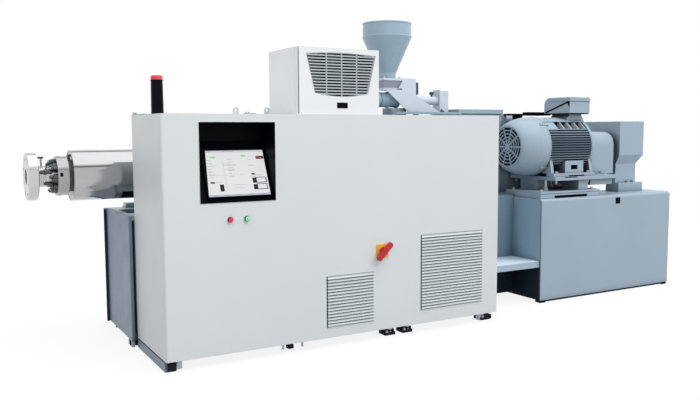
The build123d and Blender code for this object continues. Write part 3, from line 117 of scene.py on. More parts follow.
# Cabinet: louvre rows, recess edge, roof fittings, mounts and button heads
VENT_ROWS = (("small_vent_grille", 16), ("large_vent_grille", 25))
VENT_BORDER = 4.0
VENT_GAP_SHARE = 0.16
VENT_EDGE_HALF = 3.5
RECESS_LIP = 3.0
ROOF_BLOCKS = ((540, 604, 40, 84, 7), (30, 74, 596, 624, 9), (8, 50, 470, 498, 7))
HINGE_PINS = (545, 560)
HINGE_Y = 52
ROOF_EYE = (19, 636)
MOUNT_PAIR = (1585.0, 1728.0)
MOUNT_HALF = 42.0
MOUNT_STEP = 22.0
MOUNT_TOP = 42.0
END_BLOCK = (62, 112, 0, 34)
WEDGE = (800, 838, 36, 80, 22, 50)
STAY_LEFT = 763.0
STAY_RIGHT = 905.0
STAY_WIDTH = 6.0
STAY_LOW = 24.0
BUTTON_HEAD = ((0, 0), (0, 13.5), (1.2, 15), (2.6, 15), (3.6, 13), (3.8, 0))

# Cooling unit's grille
COOLER_GRILLE_WIDE = 510.0
COOLER_GRILLE_LOW = 392.0
COOLER_GRILLE_CROWN = 22.0
COOLER_GRILLE_ARCH = 11.0
COOLER_INSET = 9.0
COOLER_ROWS = 12
COOLER_CROWN_ROWS = 4
COOLER_CREST = 7.0

# Clamp and neck of the barrel, from their axis. A sensor is two ends and a radius
CLAMP_LUGS = range(12, 372, 45)
CLAMP_SLOTS = range(-6, 354, 90)
STUD_REACH = 0.76
STUD_LENGTH = 48.0
SENSORS = (((-526, 914, 32), (-452, 908, 30), 12), ((-483, 934, 44), (-483, 929, 86), 5),
           ((-500, 930, -44), (-448, 905, -56), 9))
SENSOR_COLLAR = (-500, 912, 31)
FITTINGS = (((-483, 932, 44), (0, -0.1, 1), 15), ((-466, 922, 45), (0, -0.6, 1), 12))
PLUG_X = -508.0
OUTLET_RADIUS = 49.5
BAND_PLACES = (720, 1440)
BAND_WIDTH = 26.0
MOUTH_INSIDE = 107.0

# Feeder: the knob's outline, and the hopper's bead around its shoulder
KNOB = ((0, 0), (0, 12), (6, 20), (18, 20), (25, 13), (27, 0))
TUBE_BOLT_RADIUS = 52.0
TUBE_RING_RADIUS = 61.5
HOPPER_BEAD = 6.0

# Motor: its plate and feet, the core between its fins, and its upper webs, from its left end
# and its axis
PLATE_THICKNESS = 30.0
FOOT_BAR = 28.0
FOOT_BOLT_SIDE = 241.0
FOOT_MIDDLE = 267.0
SHIELD_THICKNESS = 30.0
SHIELD_BOLT_RADIUS = 205.0
COWL_LUGS = (48, 132, 225, 315)
CORE_LENGTH = 481.0
CORE_RADIUS = 172.0
FINS = 15
FIN_PITCH = 20.4
FIN_THICKNESS = 7.0
FIN_RADIUS = 244.0
FIN_GAP_DEPTH = 17.0
WEBS = 6
WEB_FIRST = 41.0
WEB_SPACING = 80.0
WEB_LOW = 140.0
WEB_TOP = 214.0
WEB_REACH = 200.0
WEB_FLAT = 115.0
WEB_INSIDE = 98.0
LID_SLANT = math.atan2(95.0, 286.0)
LID_LENGTH = 296.0
INTAKE_RIM = (174.0, 166.0)

# Base: the cover between the frame's walls, in painted shade, the left corner's foot, and the
# hollow between the slide rails, which holds a painted shadow
INNER_COVER = (12.0, 1828.0)
WALL_DEPTH = 191.0
CORNER_FOOT = ((664, 770, 2), (690, 744, 14))
RAIL_HOLLOW = (3336.0, 3704.0, 851.5, 871.0)


def at(x, y, z):
    return Vector((CORNER.x + x * MM, CORNER.y + y * MM, z * MM))


class Span:
    """A node's box in millimetres from the cabinet's corner."""

    def __init__(self, node):
        low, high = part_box(node)
        self.left, self.right = ((v[0] - CORNER.x) / MM for v in (low, high))
        self.front, self.back = ((v[1] - CORNER.y) / MM for v in (low, high))
        self.bottom, self.top = (v[2] / MM for v in (low, high))
        self.middle = tuple((a + b) / 2 for a, b in ((self.left, self.right),
                                                     (self.front, self.back),
                                                     (self.bottom, self.top)))


def spans(*nodes):
    return [Span(node) for node in nodes]


def around(degrees):
    """The direction at an angle about the X axis, from the back towards the top."""
    angle = math.radians(degrees)
    return Vector((0, math.cos(angle), math.sin(angle)))


def turned(degrees):
    return Matrix.Rotation(math.radians(degrees), 3, "X")


def linear(colour):
    """sRGB 0 to 255 into the linear colour that a shader takes."""
    parts = [c / 255 for c in colour]
    return tuple(p / 12.92 if p <= 0.04045 else ((p + 0.055) / 1.055) ** 2.4 for p in parts) + (1,)


def scaled(colour, factor):
    """A linear colour made darker or lighter, up to white."""
    return tuple(min(c * factor, 1) for c in colour[:3]) + (1,)


# Materials

def node_of(tree, kind, **inputs):
    node = tree.nodes.new(kind)
    for name, value in inputs.items():
        node.inputs[name.replace("_", " ")].default_value = value
    return node


def noise(tree, scale, detail=3.0, stretch=None):
    """Noise in the object's own metres, stretched along an axis if asked."""
    place = tree.nodes.new("ShaderNodeTexCoord").outputs["Object"]
    if stretch:
        mapping = node_of(tree, "ShaderNodeMapping", Scale=stretch)
        tree.links.new(place, mapping.inputs["Vector"])
        place = mapping.outputs["Vector"]
    texture = node_of(tree, "ShaderNodeTexNoise", Scale=scale, Detail=detail)
    tree.links.new(place, texture.inputs["Vector"])
    return texture.outputs["Fac"]


def ranged(tree, value, low, high, start=0.3, end=0.7):
    node = node_of(tree, "ShaderNodeMapRange", From_Min=start, From_Max=end, To_Min=low,
                   To_Max=high)
    tree.links.new(value, node.inputs["Value"])
    return node.outputs["Result"]


def mixed(tree, dark, light, factor):
    """A mix of a fixed colour with a second colour, which is fixed or another node's output."""
    mix = tree.nodes.new("ShaderNodeMix")
    mix.data_type = "RGBA"
    mix.inputs["A"].default_value = dark
    if isinstance(light, tuple):
        mix.inputs["B"].default_value = light
    else:
        tree.links.new(light, mix.inputs["B"])
    tree.links.new(factor, mix.inputs["Factor"])
    return mix.outputs["Result"]


def surface(name, colour, roughness, tint=0.03, spread=0.05, grain=700.0, depth=0.05,
            edge=0.0, stretch=None, recess=0.0, shine=0.5, metal=0.0):
    """A surface with slightly uneven colour and gloss, fine grain and softened edges.

    recess paints shade: it darkens narrow gaps and inner corners by their ambient occlusion.
    """
    material = bpy.data.materials.new(name)
    material.use_nodes = True
    tree = material.node_tree
    shader = tree.nodes["Principled BSDF"]
    shader.inputs["Specular IOR Level"].default_value = shine
    shader.inputs["Metallic"].default_value = metal
    base = linear(colour)
    cloud = ranged(tree, noise(tree, CLOUD_SCALE), 0, 1)
    tinted = mixed(tree, scaled(base, 1 - tint), scaled(base, 1 + tint), cloud)
    # painted shade: the colour darkens where ambient occlusion finds gaps and corners
    if recess:
        hollow = node_of(tree, "ShaderNodeAmbientOcclusion", Distance=RECESS_SHADE_REACH)
        hollow.samples = 8
        open_share = ranged(tree, hollow.outputs["AO"], 0, 1, 0.25, 0.75)
        tinted = mixed(tree, scaled(base, 1 - recess), tinted, open_share)
    tree.links.new(tinted, shader.inputs["Base Color"])
    gloss = ranged(tree, noise(tree, GLOSS_SCALE, stretch=stretch), roughness - spread,
                   roughness + spread)
    tree.links.new(gloss, shader.inputs["Roughness"])
    bump = node_of(tree, "ShaderNodeBump", Strength=depth, Distance=0.001)
    tree.links.new(noise(tree, grain, 2.0, stretch), bump.inputs["Height"])
    if edge:
        bevel = node_of(tree, "ShaderNodeBevel", Radius=edge)
        bevel.samples = 4
        tree.links.new(bevel.outputs["Normal"], bump.inputs["Normal"])
    tree.links.new(bump.outputs["Normal"], shader.inputs["Normal"])
    return material


def glowing(name, colour):
    """A lit display colour under glass, with the faint unevenness of a backlight."""
    material = surface(name, tuple(c * 0.3 for c in colour), 0.3, tint=0.02, depth=0.01,
                       shine=0.15)
    shader = material.node_tree.nodes["Principled BSDF"]
    shader.inputs["Emission Color"].default_value = linear(colour)
    shader.inputs["Emission Strength"].default_value = BACKLIGHT
    return material


cabinet_paint = surface("cabinet_paint_sheet", (213, 218, 218), 0.42, tint=0.012, edge=0.003)
cooler_paint = surface("cooler_paint_sheet", (231, 233, 235), 0.4, tint=0.012, edge=0.003)
# the machine and motor paints carry painted shade in their gaps and corners (recess)
machine_paint = surface("machine_paint_coat", MACHINE, 0.4, edge=0.004, recess=0.7)
motor_paint = surface("motor_paint_coat", MACHINE, 0.36, edge=0.003, recess=0.88)
hopper_paint = surface("hopper_paint_coat", (152, 175, 191), 0.3, edge=0.003)
# the feeder's own pale paint, also used as painted light on the motor's web faces
feeder_paint_and_web_light = surface("feeder_coat_and_web_painted_light", (200, 211, 219), 0.36, tint=0.02, edge=0.003,
                       recess=0.2)
vent_paint = surface("vent_paint_sheet", (211, 216, 217), 0.45, tint=0.012)
slat_paint = surface("cooler_slat_paint", (176, 184, 189), 0.45, tint=0.02)
louvre_paint = surface("vent_louvre_paint", (200, 206, 208), 0.5, tint=0.012)
# painted light: the machine paint made lighter for the shelf and the left corner's foot
lit_machine_paint = surface("machine_paint_painted_light", (166, 184, 199), 0.4, edge=0.003, recess=0.25)
# painted shade: the machine paint retuned for the base's inner faces, which lie in shade
inner_painted_shade = surface("machine_paint_inner_shade", (142, 169, 188), 0.45, tint=0.04, recess=0.5)
# painted shade: the machine paint darkened for the base's side box
deep_painted_shade = surface("machine_paint_deep_shade", (112, 135, 153), 0.45, tint=0.04, recess=0.5)
# painted shade on the tips of the motor's fins
fin_tip_shade = surface("motor_fin_tip_painted_shade", (94, 110, 124), 0.42, tint=0.06)
# painted shade: the machine paint darkened for the base's end panel and the cabinet's skid
end_painted_shade = surface("machine_paint_end_shade", (120, 135, 155), 0.42, edge=0.004, recess=0.5)
black_trim = surface("black_trim_plastic", (6, 8, 13), 0.45, tint=0.2, shine=0.05)
deep_black = surface("deep_shadow_black", (6, 7, 10), 0.8, tint=0.2, shine=0.05)
# painted shade in the pit under the shelf and under the drive base; also a seam at the coupling's
# guard
void_dark = surface("pit_shade_and_seam_dark", (38, 48, 60), 0.7, tint=0.1, shine=0.05)
# painted shadow in gaps at the grilles' and the base's edges; also the dark corner strip and a
# joint line
shade_and_trim_blue = surface("panel_gap_shade_and_trim_blue", (38, 52, 68), 0.6, tint=0.1, shine=0.08)
# painted shadow in the gaps between the motor's fins
fin_gap = surface("fin_gap_painted_shade", (44, 55, 66), 0.7, tint=0.1, shine=0.08)
# painted shadow under the louvres; also the colour of the cooler's seam
louvre_shade_and_seam = surface("louvre_shade_and_seam_grey", (98, 106, 112), 0.7, tint=0.05, shine=0.1)
# painted light: a lighter skin on the shelf's top
shelf_top_light = surface("shelf_top_painted_light", (212, 230, 243), 0.45)
taper_paint = surface("hopper_taper_paint", (140, 147, 158), 0.42)
cap_grey = surface("feeder_cap_plastic", (66, 84, 102), 0.5, tint=0.05, shine=0.2)
inner_shade = surface("intake_inside_painted_shade", (96, 114, 128), 0.6, tint=0.05)
switch_yellow = surface("switch_yellow_plastic", (226, 172, 52), 0.45, depth=0.03, shine=0.25)
switch_red = surface("switch_red_plastic", (184, 44, 54), 0.4, depth=0.03, shine=0.3)
button_red = surface("button_red_plastic", (236, 56, 80), 0.35, depth=0.02, shine=0.3)
button_green = surface("button_green_plastic", (146, 230, 176), 0.35, depth=0.02, shine=0.3)
beacon_black = surface("beacon_black_plastic", (7, 9, 16), 0.3, tint=0.1, shine=0.07)
beacon_red = surface("beacon_red_lens", (228, 70, 82), 0.3, depth=0.02, shine=0.3)
foot_rubber = surface("foot_rubber_block", (20, 23, 29), 0.7, tint=0.15, depth=0.1, shine=0.2)
TURNED = dict(stretch=(12, 1, 1), grain=240.0, depth=0.04, edge=0.002, metal=0.9)
polished_steel = surface("polished_steel_sheet", (177, 177, 178), 0.1, tint=0.02, spread=0.03,
                         stretch=(4, 1, 1), grain=300.0, depth=0.02, metal=1.0)
machined_steel = surface("machined_steel_turned", (204, 203, 203), 0.28, tint=0.04, **TURNED)
clamp_steel = surface("clamp_steel_turned", (166, 165, 168), 0.26, tint=0.05, **TURNED)
dark_steel = surface("dark_steel_bolts", (92, 95, 99), 0.4, tint=0.08, edge=0.001, metal=0.8)
bright_bolt = surface("zinc_bolt_steel", (176, 186, 196), 0.35, tint=0.06, edge=0.001, metal=0.6)
brass = surface("brass_fitting_metal", (196, 160, 88), 0.3, tint=0.05, metal=1.0)
fan_plastic = surface("fan_plastic_moulding", (86, 100, 112), 0.5)
screen_glass = surface("screen_bezel_plastic", (10, 12, 16), 0.4, shine=0.05)

DRESS = {
    cabinet_paint: "cabinet_shell",
    cooler_paint: "cooling_unit",
    slat_paint: "cooling_unit_grille",
    vent_paint: "lifting_lugs",
    motor_paint: "motor_frame fan_cowl fan_grille terminal_box",
    feeder_paint_and_web_light: "metering_box feeder_bracket metering_drive",
    hopper_paint: "hopper metering_tube",
    taper_paint: "hopper_flange",
    cap_grey: "metering_box_cover",
    lit_machine_paint: "service_shelf",
    deep_painted_shade: "base_side_box",
    end_painted_shade: "base_end_panel cabinet_skid",
    machine_paint: "base_frame drive_base drive_base_panel barrel_saddles feed_housing "
                   "cable_tray shaft_plinth reduction_gearbox gearbox_end_cover "
                   "gearbox_top_plate input_shaft_cover transfer_box pedestal_block motor_plate "
                   "plate_spacers slide_rails coupling_guard",
    louvre_paint: "small_vent_grille large_vent_grille",
    black_trim: "recess_liner panel_latch cable_duct button_collars",
    screen_glass: "touch_screen",
    switch_yellow: "switch_plate",
    switch_red: "switch_handle",
    button_red: "red_button",
    button_green: "green_button",
    beacon_black: "beacon_column",
    beacon_red: "beacon_cap",
    foot_rubber: "base_feet",
    bright_bolt: "cabinet_feet",
    polished_steel: "barrel_cover",
    machined_steel: "adapter_neck outlet_flange",
    clamp_steel: "barrel_flange",
    dark_steel: "clamp_bolts extruder_barrel",
    fan_plastic: "motor_fan",
}
for material, names in DRESS.items():
    for name in names.split():
        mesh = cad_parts[name].data
        mesh.materials.clear()
        mesh.materials.append(material)


# Mesh helpers: each adds to the piece in hand, in millimetres from the cabinet's corner

in_hand = bmesh.new()


def joined(part, index):
    """Adds a bmesh to the piece in hand and gives its faces a material index."""
    for face in part.faces:
        face.material_index = index
    mesh = bpy.data.meshes.new("part")
    part.to_mesh(mesh)
    part.free()
    in_hand.from_mesh(mesh)
    bpy.data.meshes.remove(mesh)


def add_box(x0, x1, y0, y1, z0, z1, bevel=0.4, index=0, turn=None, about=None):
    """A box with rounded edges, turned about a point if asked. y0 and y1 come in any order."""
    y0, y1 = sorted((y0, y1))
    part = bmesh.new()
    bmesh.ops.create_cube(part, size=1.0)
    for vertex in part.verts:
        x, y, z = vertex.co
        vertex.co = Vector((x0 + (x + 0.5) * (x1 - x0), y0 + (y + 0.5) * (y1 - y0),
                            z0 + (z + 0.5) * (z1 - z0)))
    if bevel:
        bmesh.ops.bevel(part, geom=part.edges[:], offset=bevel, segments=2, affect="EDGES",
                        profile=0.6)
    if turn:
        centre = Vector(about)
        for vertex in part.verts:
            vertex.co = centre + turn @ (vertex.co - centre)
    for vertex in part.verts:
        vertex.co = at(*vertex.co)
    joined(part, index)


def add_lathe(start, direction, profile, sides=32, index=0):
    """A closed outline of (distance, radius) points turned about an axis from start."""
    axis = Vector(direction).normalized()
    turn = Vector(UP).rotation_difference(axis).to_matrix()
    part = bmesh.new()
    rings = []
    for distance, radius in profile:
        ring = []
        for side in range(sides if radius > 0 else 1):
            angle = 2 * math.pi * side / sides
            point = Vector((radius * math.cos(angle), radius * math.sin(angle), distance))
            ring.append(part.verts.new(at(*(Vector(start) + turn @ point))))
        rings.append(ring)
    for ring, following in zip(rings, rings[1:] + rings[:1]):
        if len(ring) == len(following) == 1:
            continue
        for side in range(sides):
            after = (side + 1) % sides
            corners = [ring[side % len(ring)], ring[after % len(ring)],
                       following[after % len(following)], following[side % len(following)]]
            part.faces.new([v for i, v in enumerate(corners) if v not in corners[:i]])
    bmesh.ops.recalc_face_normals(part, faces=part.faces[:])
    joined(part, index)


def add_rod(start, end, radius, sides=24, index=0):
    """A round bar between two points, with a small chamfer."""
    start, end = Vector(start), Vector(end)
    length = (end - start).length
    edge = min(radius, length) * 0.15
    profile = [(0, 0), (0, radius - edge), (edge, radius), (length - edge, radius),
               (length, radius - edge), (length, 0)]
    add_lathe(start, end - start, profile, sides, index)


def add_ring(start, direction, outer, inner, length, sides=48):
    edge = min(outer - inner, length) * 0.2
    profile = [(0, inner), (0, outer - edge), (edge, outer), (length - edge, outer),
               (length, outer - edge), (length, inner)]
    add_lathe(start, direction, profile, sides)


def add_bolt(place, direction, across=24.0, index=0):
    """A hexagon head on a washer, standing out of a face."""
    direction = Vector(direction).normalized()
    place = Vector(place)
    radius = across / math.sqrt(3)
    head = across * HEAD_HEIGHT
    start = place + direction * across * WASHER_HEIGHT
    add_rod(place, start, across * WASHER_RADIUS, 24, index)
    profile = [(0, 0), (0, radius), (head * 0.85, radius), (head, radius * 0.86), (head, 0)]
    add_lathe(start, direction, profile, 6, index)


def add_plate(corners, thickness, index=0):
    """A flat plate from its corners in order, thickened along a vector."""
    part = bmesh.new()
    faces = [[part.verts.new(at(*(Vector(c) + shift))) for c in corners]
             for shift in (Vector((0, 0, 0)), Vector(thickness))]
    part.faces.new(faces[0])
    part.faces.new(faces[1][::-1])
    for i in range(len(corners)):
        j = (i + 1) % len(corners)
        part.faces.new((faces[0][i], faces[0][j], faces[1][j], faces[1][i]))
    bmesh.ops.recalc_face_normals(part, faces=part.faces[:])
    joined(part, index)


def add_flush_screw(place, across):
    """A sunk screw in a level face: a thin rim around a dark socket, whose shade is painted black.
    """
    add_ring(place, UP, across * 0.62, across * 0.3, 1.6, 24)
    socket = across * 0.32
    add_lathe(place, UP, [(0, 0), (0, socket), (0.6, socket), (0.6, 0)], 6, 1)


def in_scene(name, data):
    thing = bpy.data.objects.new(name, data)
    scene.collection.objects.link(thing)
    return thing


def piece(name, materials, body="machine", angle=35):
    """Makes what is in hand an object, smooth up to an angle, that rides on a body."""
    mesh = bpy.data.meshes.new(name)
    in_hand.to_mesh(mesh)
    in_hand.clear()
    for material in materials:
        mesh.materials.append(material)
    mesh.shade_smooth()
    mesh.set_sharp_from_angle(angle=math.radians(angle))
    thing = in_scene(name, mesh)
    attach(thing, body)


# Screen

def screen_image():
    """A plain process display: header, status chips, value rows, a line drawing, a footer."""
    box = Span("touch_screen")
    width = box.right - box.left - 2 * SCREEN_FRAME
    tall = SCREEN_TALL - 2 * SCREEN_FRAME
    slope = Matrix.Rotation(-SCREEN_TILT, 3, "X")
    # the panel's foot: its front edge stands furthest forward, and its back edge is the lowest
    front_edge = slope @ Vector((0, -SCREEN_DEPTH, SCREEN_LIFT))
    back_edge = slope @ Vector((0, 0, SCREEN_LIFT))
    foot = Vector((box.left + SCREEN_FRAME, box.front - front_edge.y, box.bottom - back_edge.z))

    def on_glass(u, v, depth):
        """A place from fractions of the glass's width and height."""
        return foot + slope @ Vector((width * u, depth, SCREEN_LIFT + SCREEN_FRAME + tall * v))

    def tile(tone, u0, v0, u1, v1, layer=1):
        part = bmesh.new()
        bmesh.ops.create_cube(part, size=1.0)
        face = SCREEN_FACE - IMAGE_GAP - IMAGE_LIFT * layer
        back = SCREEN_FACE - IMAGE_GAP * 0.5 if layer == 0 else face + IMAGE_LIFT
        for vertex in part.verts:
            x, y, z = vertex.co
            vertex.co = at(*on_glass(u0 + (x + 0.5) * (u1 - u0), v0 + (z + 0.5) * (v1 - v0),
                                     face if y < 0 else back))
        joined(part, tone)

    for fixed in DISPLAY_TILES:
        tile(*fixed)
    for row in range(VALUE_ROWS):
        v = VALUE_TOP - row * VALUE_PITCH
        tile(GREY, 0.05, v, 0.12 + 0.02 * (row % 3), v + VALUE_TALL)
        tile(GREY, 0.38, v + 0.02, 0.43 + 0.03 * ((row + 1) % 3), v + 0.03)
        if row % 2 == 0:
            tile(GREY, 0.72, v, 0.77 + 0.02 * (row % 4), v + VALUE_TALL)
    for low in (0.125, 0.27):
        tile(DARK, 0.745, low, 0.80, low + 0.115)
        tile(DARK, 0.80, low, 0.975, low + 0.125)
        tile(PAGE, 0.815, low + 0.014, 0.962, low + 0.111, 2)
    for key in range(KEYS):
        left = 0.05 + key * KEY_PITCH
        tile(GREY, left, 0.014, left + 0.1, 0.03, 2)
    # painted shade: the recess's shade over the picture's upper left corner
    face = SCREEN_FACE - IMAGE_GAP - IMAGE_LIFT * 3
    corners = [on_glass(u, v, face) for u, v in ((0, 1), (0.06, 1), (0, 0))]
    add_plate(corners, slope @ Vector((0, IMAGE_LIFT, 0)), CORNER_SHADE)
    tones = [glowing("display_tone_%d" % i, tone) for i, tone in enumerate(DISPLAY_TONES)]
    piece("screen_image", tones + [black_trim])


# Cabinet

def vent_shadows():
    """Painted shadow: the dark gap under each louvre, and the dark lines at each grille's left
    side and top.
    """
    for node, rows in VENT_ROWS:
        box = Span(node)
        pitch = (box.top - box.bottom - 2 * VENT_BORDER) / rows
        for row in range(rows):
            z = box.bottom + VENT_BORDER + row * pitch
            add_box(box.left + VENT_BORDER, box.right - VENT_BORDER, 0.6, 5.0, z - 0.5,
                    z + pitch * VENT_GAP_SHARE, 0)
        add_box(box.left - VENT_EDGE_HALF, box.left + VENT_EDGE_HALF, -0.6, 2.0, box.bottom,
                box.top, 0, 1)
        add_box(box.left, box.right, -0.5, 2.0, box.top - 1.0, box.top + 1.0, 0)
    piece("vent_louvre_shadows", [louvre_shade_and_seam, shade_and_trim_blue])


def recess_edging():
    """A pale folded edge around the screen recess."""
    box = Span("recess_liner")
    left, right = box.left - RECESS_LIP, box.right + RECESS_LIP
    low, high = box.bottom - RECESS_LIP, box.top + RECESS_LIP
    for x0, x1, z0, z1 in ((left, box.left, low, high), (box.right, right, low, high),
                           (box.left, box.right, low, box.bottom),
                           (box.left, box.right, box.top, high)):
        add_box(x0, x1, -2.0, 1.0, z0, z1, 0.8)
    piece("recess_edging", [vent_paint])


def cooler_details():
    """The dark space behind the slats, as painted shadow, the small display and the seams of the
    cover.
    """
    unit, grille = spans("cooling_unit", "cooling_unit_grille")
    middle = grille.middle[0]
    low = grille.bottom + COOLER_GRILLE_CROWN
    high = grille.top - COOLER_GRILLE_ARCH
    half_low = COOLER_GRILLE_LOW / 2 - COOLER_INSET
    half_top = COOLER_GRILLE_WIDE / 2 - COOLER_INSET

    def dark_row(half, z0, z1):
        add_box(middle - half, middle + half, grille.back + 1.5, grille.back + 3.0, z0, z1, 0)

    for row in range(COOLER_ROWS):
        z0 = low + (high - low) * row / COOLER_ROWS
        dark_row(half_low + (half_top - half_low) * (row + 0.3) / COOLER_ROWS, z0,
                 z0 + (high - low) / COOLER_ROWS)
    dark_row(half_low * 0.7, low - COOLER_CREST, low)
    dark_row(half_top * 0.7, high, high + COOLER_CREST)
    crown_pitch = COOLER_GRILLE_CROWN / COOLER_CROWN_ROWS
    for row in range(COOLER_CROWN_ROWS):
        z1 = low - crown_pitch * row
        dark_row(half_low * (1 - ((row + 1) / COOLER_CROWN_ROWS) ** 2 * 0.75), z1 - crown_pitch,
                 z1)
    piece("cooler_inside_shadow", [deep_black])
    low, high = unit.bottom + 4, unit.top - 3
    for side in (unit.left - 0.6, unit.right - 1.0):
        add_box(side, side + 1.6, unit.front + 34, unit.front + 37, low, high)
    add_box(unit.left + 2, unit.right - 2, unit.front + 1, unit.back - 2, unit.top - 0.5,
            unit.top + 3.0, 1.2)
    add_box(unit.left + 5, unit.left + 11, unit.front - 0.6, unit.front + 1, low, high, 0.4, 1)
    piece("cooler_seams", [vent_paint, louvre_shade_and_seam])
    add_box(middle - 36, middle + 42, unit.front - 3.0, unit.front + 2.0, unit.bottom + 40,
            unit.bottom + 76, 2.0)
    piece("cooler_display", [black_trim])


def roof_fittings():
    """Small hinge and cover fittings along the cabinet's roof."""
    roof = Span("cabinet_shell")
    for x0, x1, y0, y1, tall in ROOF_BLOCKS:
        add_box(x0, x1, y0, y1, roof.top, roof.top + tall, 2.0)
    for x in HINGE_PINS:
        add_rod((x, HINGE_Y, roof.top + 5), (x, HINGE_Y, roof.top + 14), 5)
    add_bolt((*ROOF_EYE, roof.top), UP, 26)
    add_box(roof.left + 30, roof.right - 30, roof.back - 24, roof.back - 18, roof.top,
            roof.top + 3, 1.0)
    piece("roof_fittings", [bright_bolt])


def machine_feet():
    """Black wedge mounts with their levelling screws, and a stay, under the cabinet."""
    feet, shell, skid = spans("cabinet_feet", "cabinet_shell", "cabinet_skid")
    xs = (feet.left + 30, *MOUNT_PAIR, feet.right - 7)
    places = [(x, y) for x in xs for y in (feet.front + 38, feet.back - 38)]
    # the first mount is left out, because the skid's own foot stands there
    for x, y in places[1:]:
        half = MOUNT_HALF
        add_box(x - half, x + half, y - half - 2, y + half + 2, 0, MOUNT_STEP, 4.0)
        half -= 6
        add_box(x - half, x + half, y - half - 2, y + half + 2, MOUNT_STEP, MOUNT_TOP, 5.0)
        add_rod((x, y, MOUNT_TOP - 4), (x, y, shell.bottom), 16, index=1)
        add_bolt((x - 30, y - 44, 30), FRONT, 14, 1)
    # the skid's own foot, the block at the right end, and the stay with its wedge
    add_box(skid.left + 14, skid.left + 66, skid.front - 15, skid.front - 1, 3, 50, 4.0)
    add_box(skid.left + 20, skid.left + 60, skid.front - 8, skid.front - 1, 50, 64, 2.0)
    add_box(xs[-1] + 34, shell.right - 2, *END_BLOCK, 4.0)
    add_box(*WEDGE, 4.0)
    add_box(STAY_LEFT, STAY_RIGHT, 38, 44, shell.bottom - 12, shell.bottom, 1.0, 1)
    for x in (STAY_LEFT, STAY_RIGHT - STAY_WIDTH):
        add_box(x, x + STAY_WIDTH, 34, 60, STAY_LOW, shell.bottom, 1.0, 1)
    piece("levelling_mounts", [foot_rubber, bright_bolt])


def button_caps():
    """The wide coloured heads that stand over the buttons' collars."""
    for node, body, slot, material in (
            ("red_button", "red_push_button", "button_red", button_red),
            ("green_button", "green_push_button", "button_green", button_green)):
        box = Span(node)
        add_lathe((box.middle[0], box.front + 0.4, box.middle[2]), FRONT, BUTTON_HEAD, 48)
        piece(node + "_cap", [material], body)


def beacon_rings():
    """The dark joints at the beacon's foot and under its cap."""
    column = Span("beacon_column")
    x, y = column.middle[:2]
    for z in (column.bottom + 60, column.top - 3):
        add_ring((x, y, z), UP, 39.6, 34, 3)
    piece("beacon_joint_rings", [black_trim])


# Barrel end

def clamp_fittings():
    """Lugs, bolts and studs in front of the clamp between the barrel and its neck."""
    clamp = Span("barrel_flange")
    y, z = clamp.middle[1:]
    centre = Vector((clamp.left, y, z))
    reach = (clamp.top - clamp.bottom) / 2
    stud = Vector((STUD_LENGTH, 0, 0))
    for degrees in CLAMP_LUGS:
        add_box(clamp.left - 22, clamp.left + 2, y + reach * 0.55, y + reach * 0.88, z - 13,
                z + 13, 4.0, 0, turned(degrees), centre)
    # painted shade: black marks for the slots in the clamp's face
    for degrees in CLAMP_SLOTS:
        add_box(clamp.left + 12, clamp.left + 30, y - reach - 1.2, y - reach + 3, z - 12, z + 12,
                1.0, 1, turned(degrees), centre)
    piece("clamp_lugs", [dark_steel, deep_black])
    for degrees in CLAMP_LUGS:
        end = centre + around(degrees) * reach * STUD_REACH + Vector((2, 0, 0))
        add_rod(end - stud, end, 8)
        add_bolt(end - stud / 2, LEFT, 24, 1)
    piece("clamp_studs", [bright_bolt, dark_steel])
    x, top = clamp.right, z + 105.0
    add_rod((x + 18, y - 4, top - 4), (x + 18, y - 4, top + 22), 8)
    add_box(x + 8, x + 34, y - 14, y + 6, top + 20, top + 34, 3.0)
    piece("barrel_thermocouple", [dark_steel])


def melt_sensors():
    """Pressure and temperature sensors screwed into the neck, with brass fittings."""
    neck, flange = spans("adapter_neck", "outlet_flange")
    y, z = neck.middle[1:]
    top = z + (neck.top - neck.bottom) / 2
    axis = Vector((0, 0, z))
    for start, end, radius in SENSORS:
        add_rod(axis + Vector(start), axis + Vector(end), radius)
    add_ring(axis + Vector(SENSOR_COLLAR), RIGHT, 17, 8, 16)
    add_rod((PLUG_X, y, top - 4), (PLUG_X, y, top + 50), 6, index=1)
    add_box(PLUG_X - 19, PLUG_X + 16, y - 9, y + 9, top + 46, top + 60, 5.0)
    piece("melt_sensors", [dark_steel, machined_steel])
    for place, direction, across in FITTINGS:
        add_bolt(axis + Vector(place), direction, across)
    piece("sensor_fittings", [brass])
    # painted shadow: a dark disc down the outlet's bore
    add_rod((flange.left + 11, y, z), (flange.left + 14, y, z), OUTLET_RADIUS, 32)
    piece("outlet_channel_shadow", [deep_black])


def cover_bands():
    """The rolled mouth and the closing strips of the barrel's sheet cover."""
    cover = Span("barrel_cover")
    y, z = cover.middle[1:]
    radius = (cover.top - cover.bottom) / 2
    add_ring((cover.left + 0.5, y, z), RIGHT, radius + 0.8, radius - 4, 5, FINE)
    add_lathe((cover.left + 4, y, z), RIGHT,
              [(0, radius - 4), (20, radius - 26), (24, MOUTH_INSIDE), (28, MOUTH_INSIDE),
               (28, radius - 4)], FINE)
    for place in BAND_PLACES:
        add_ring((cover.left + place, y, z), RIGHT, radius + 1.4, radius - 2, BAND_WIDTH, FINE)
    piece("cover_bands", [polished_steel])


# Feeder

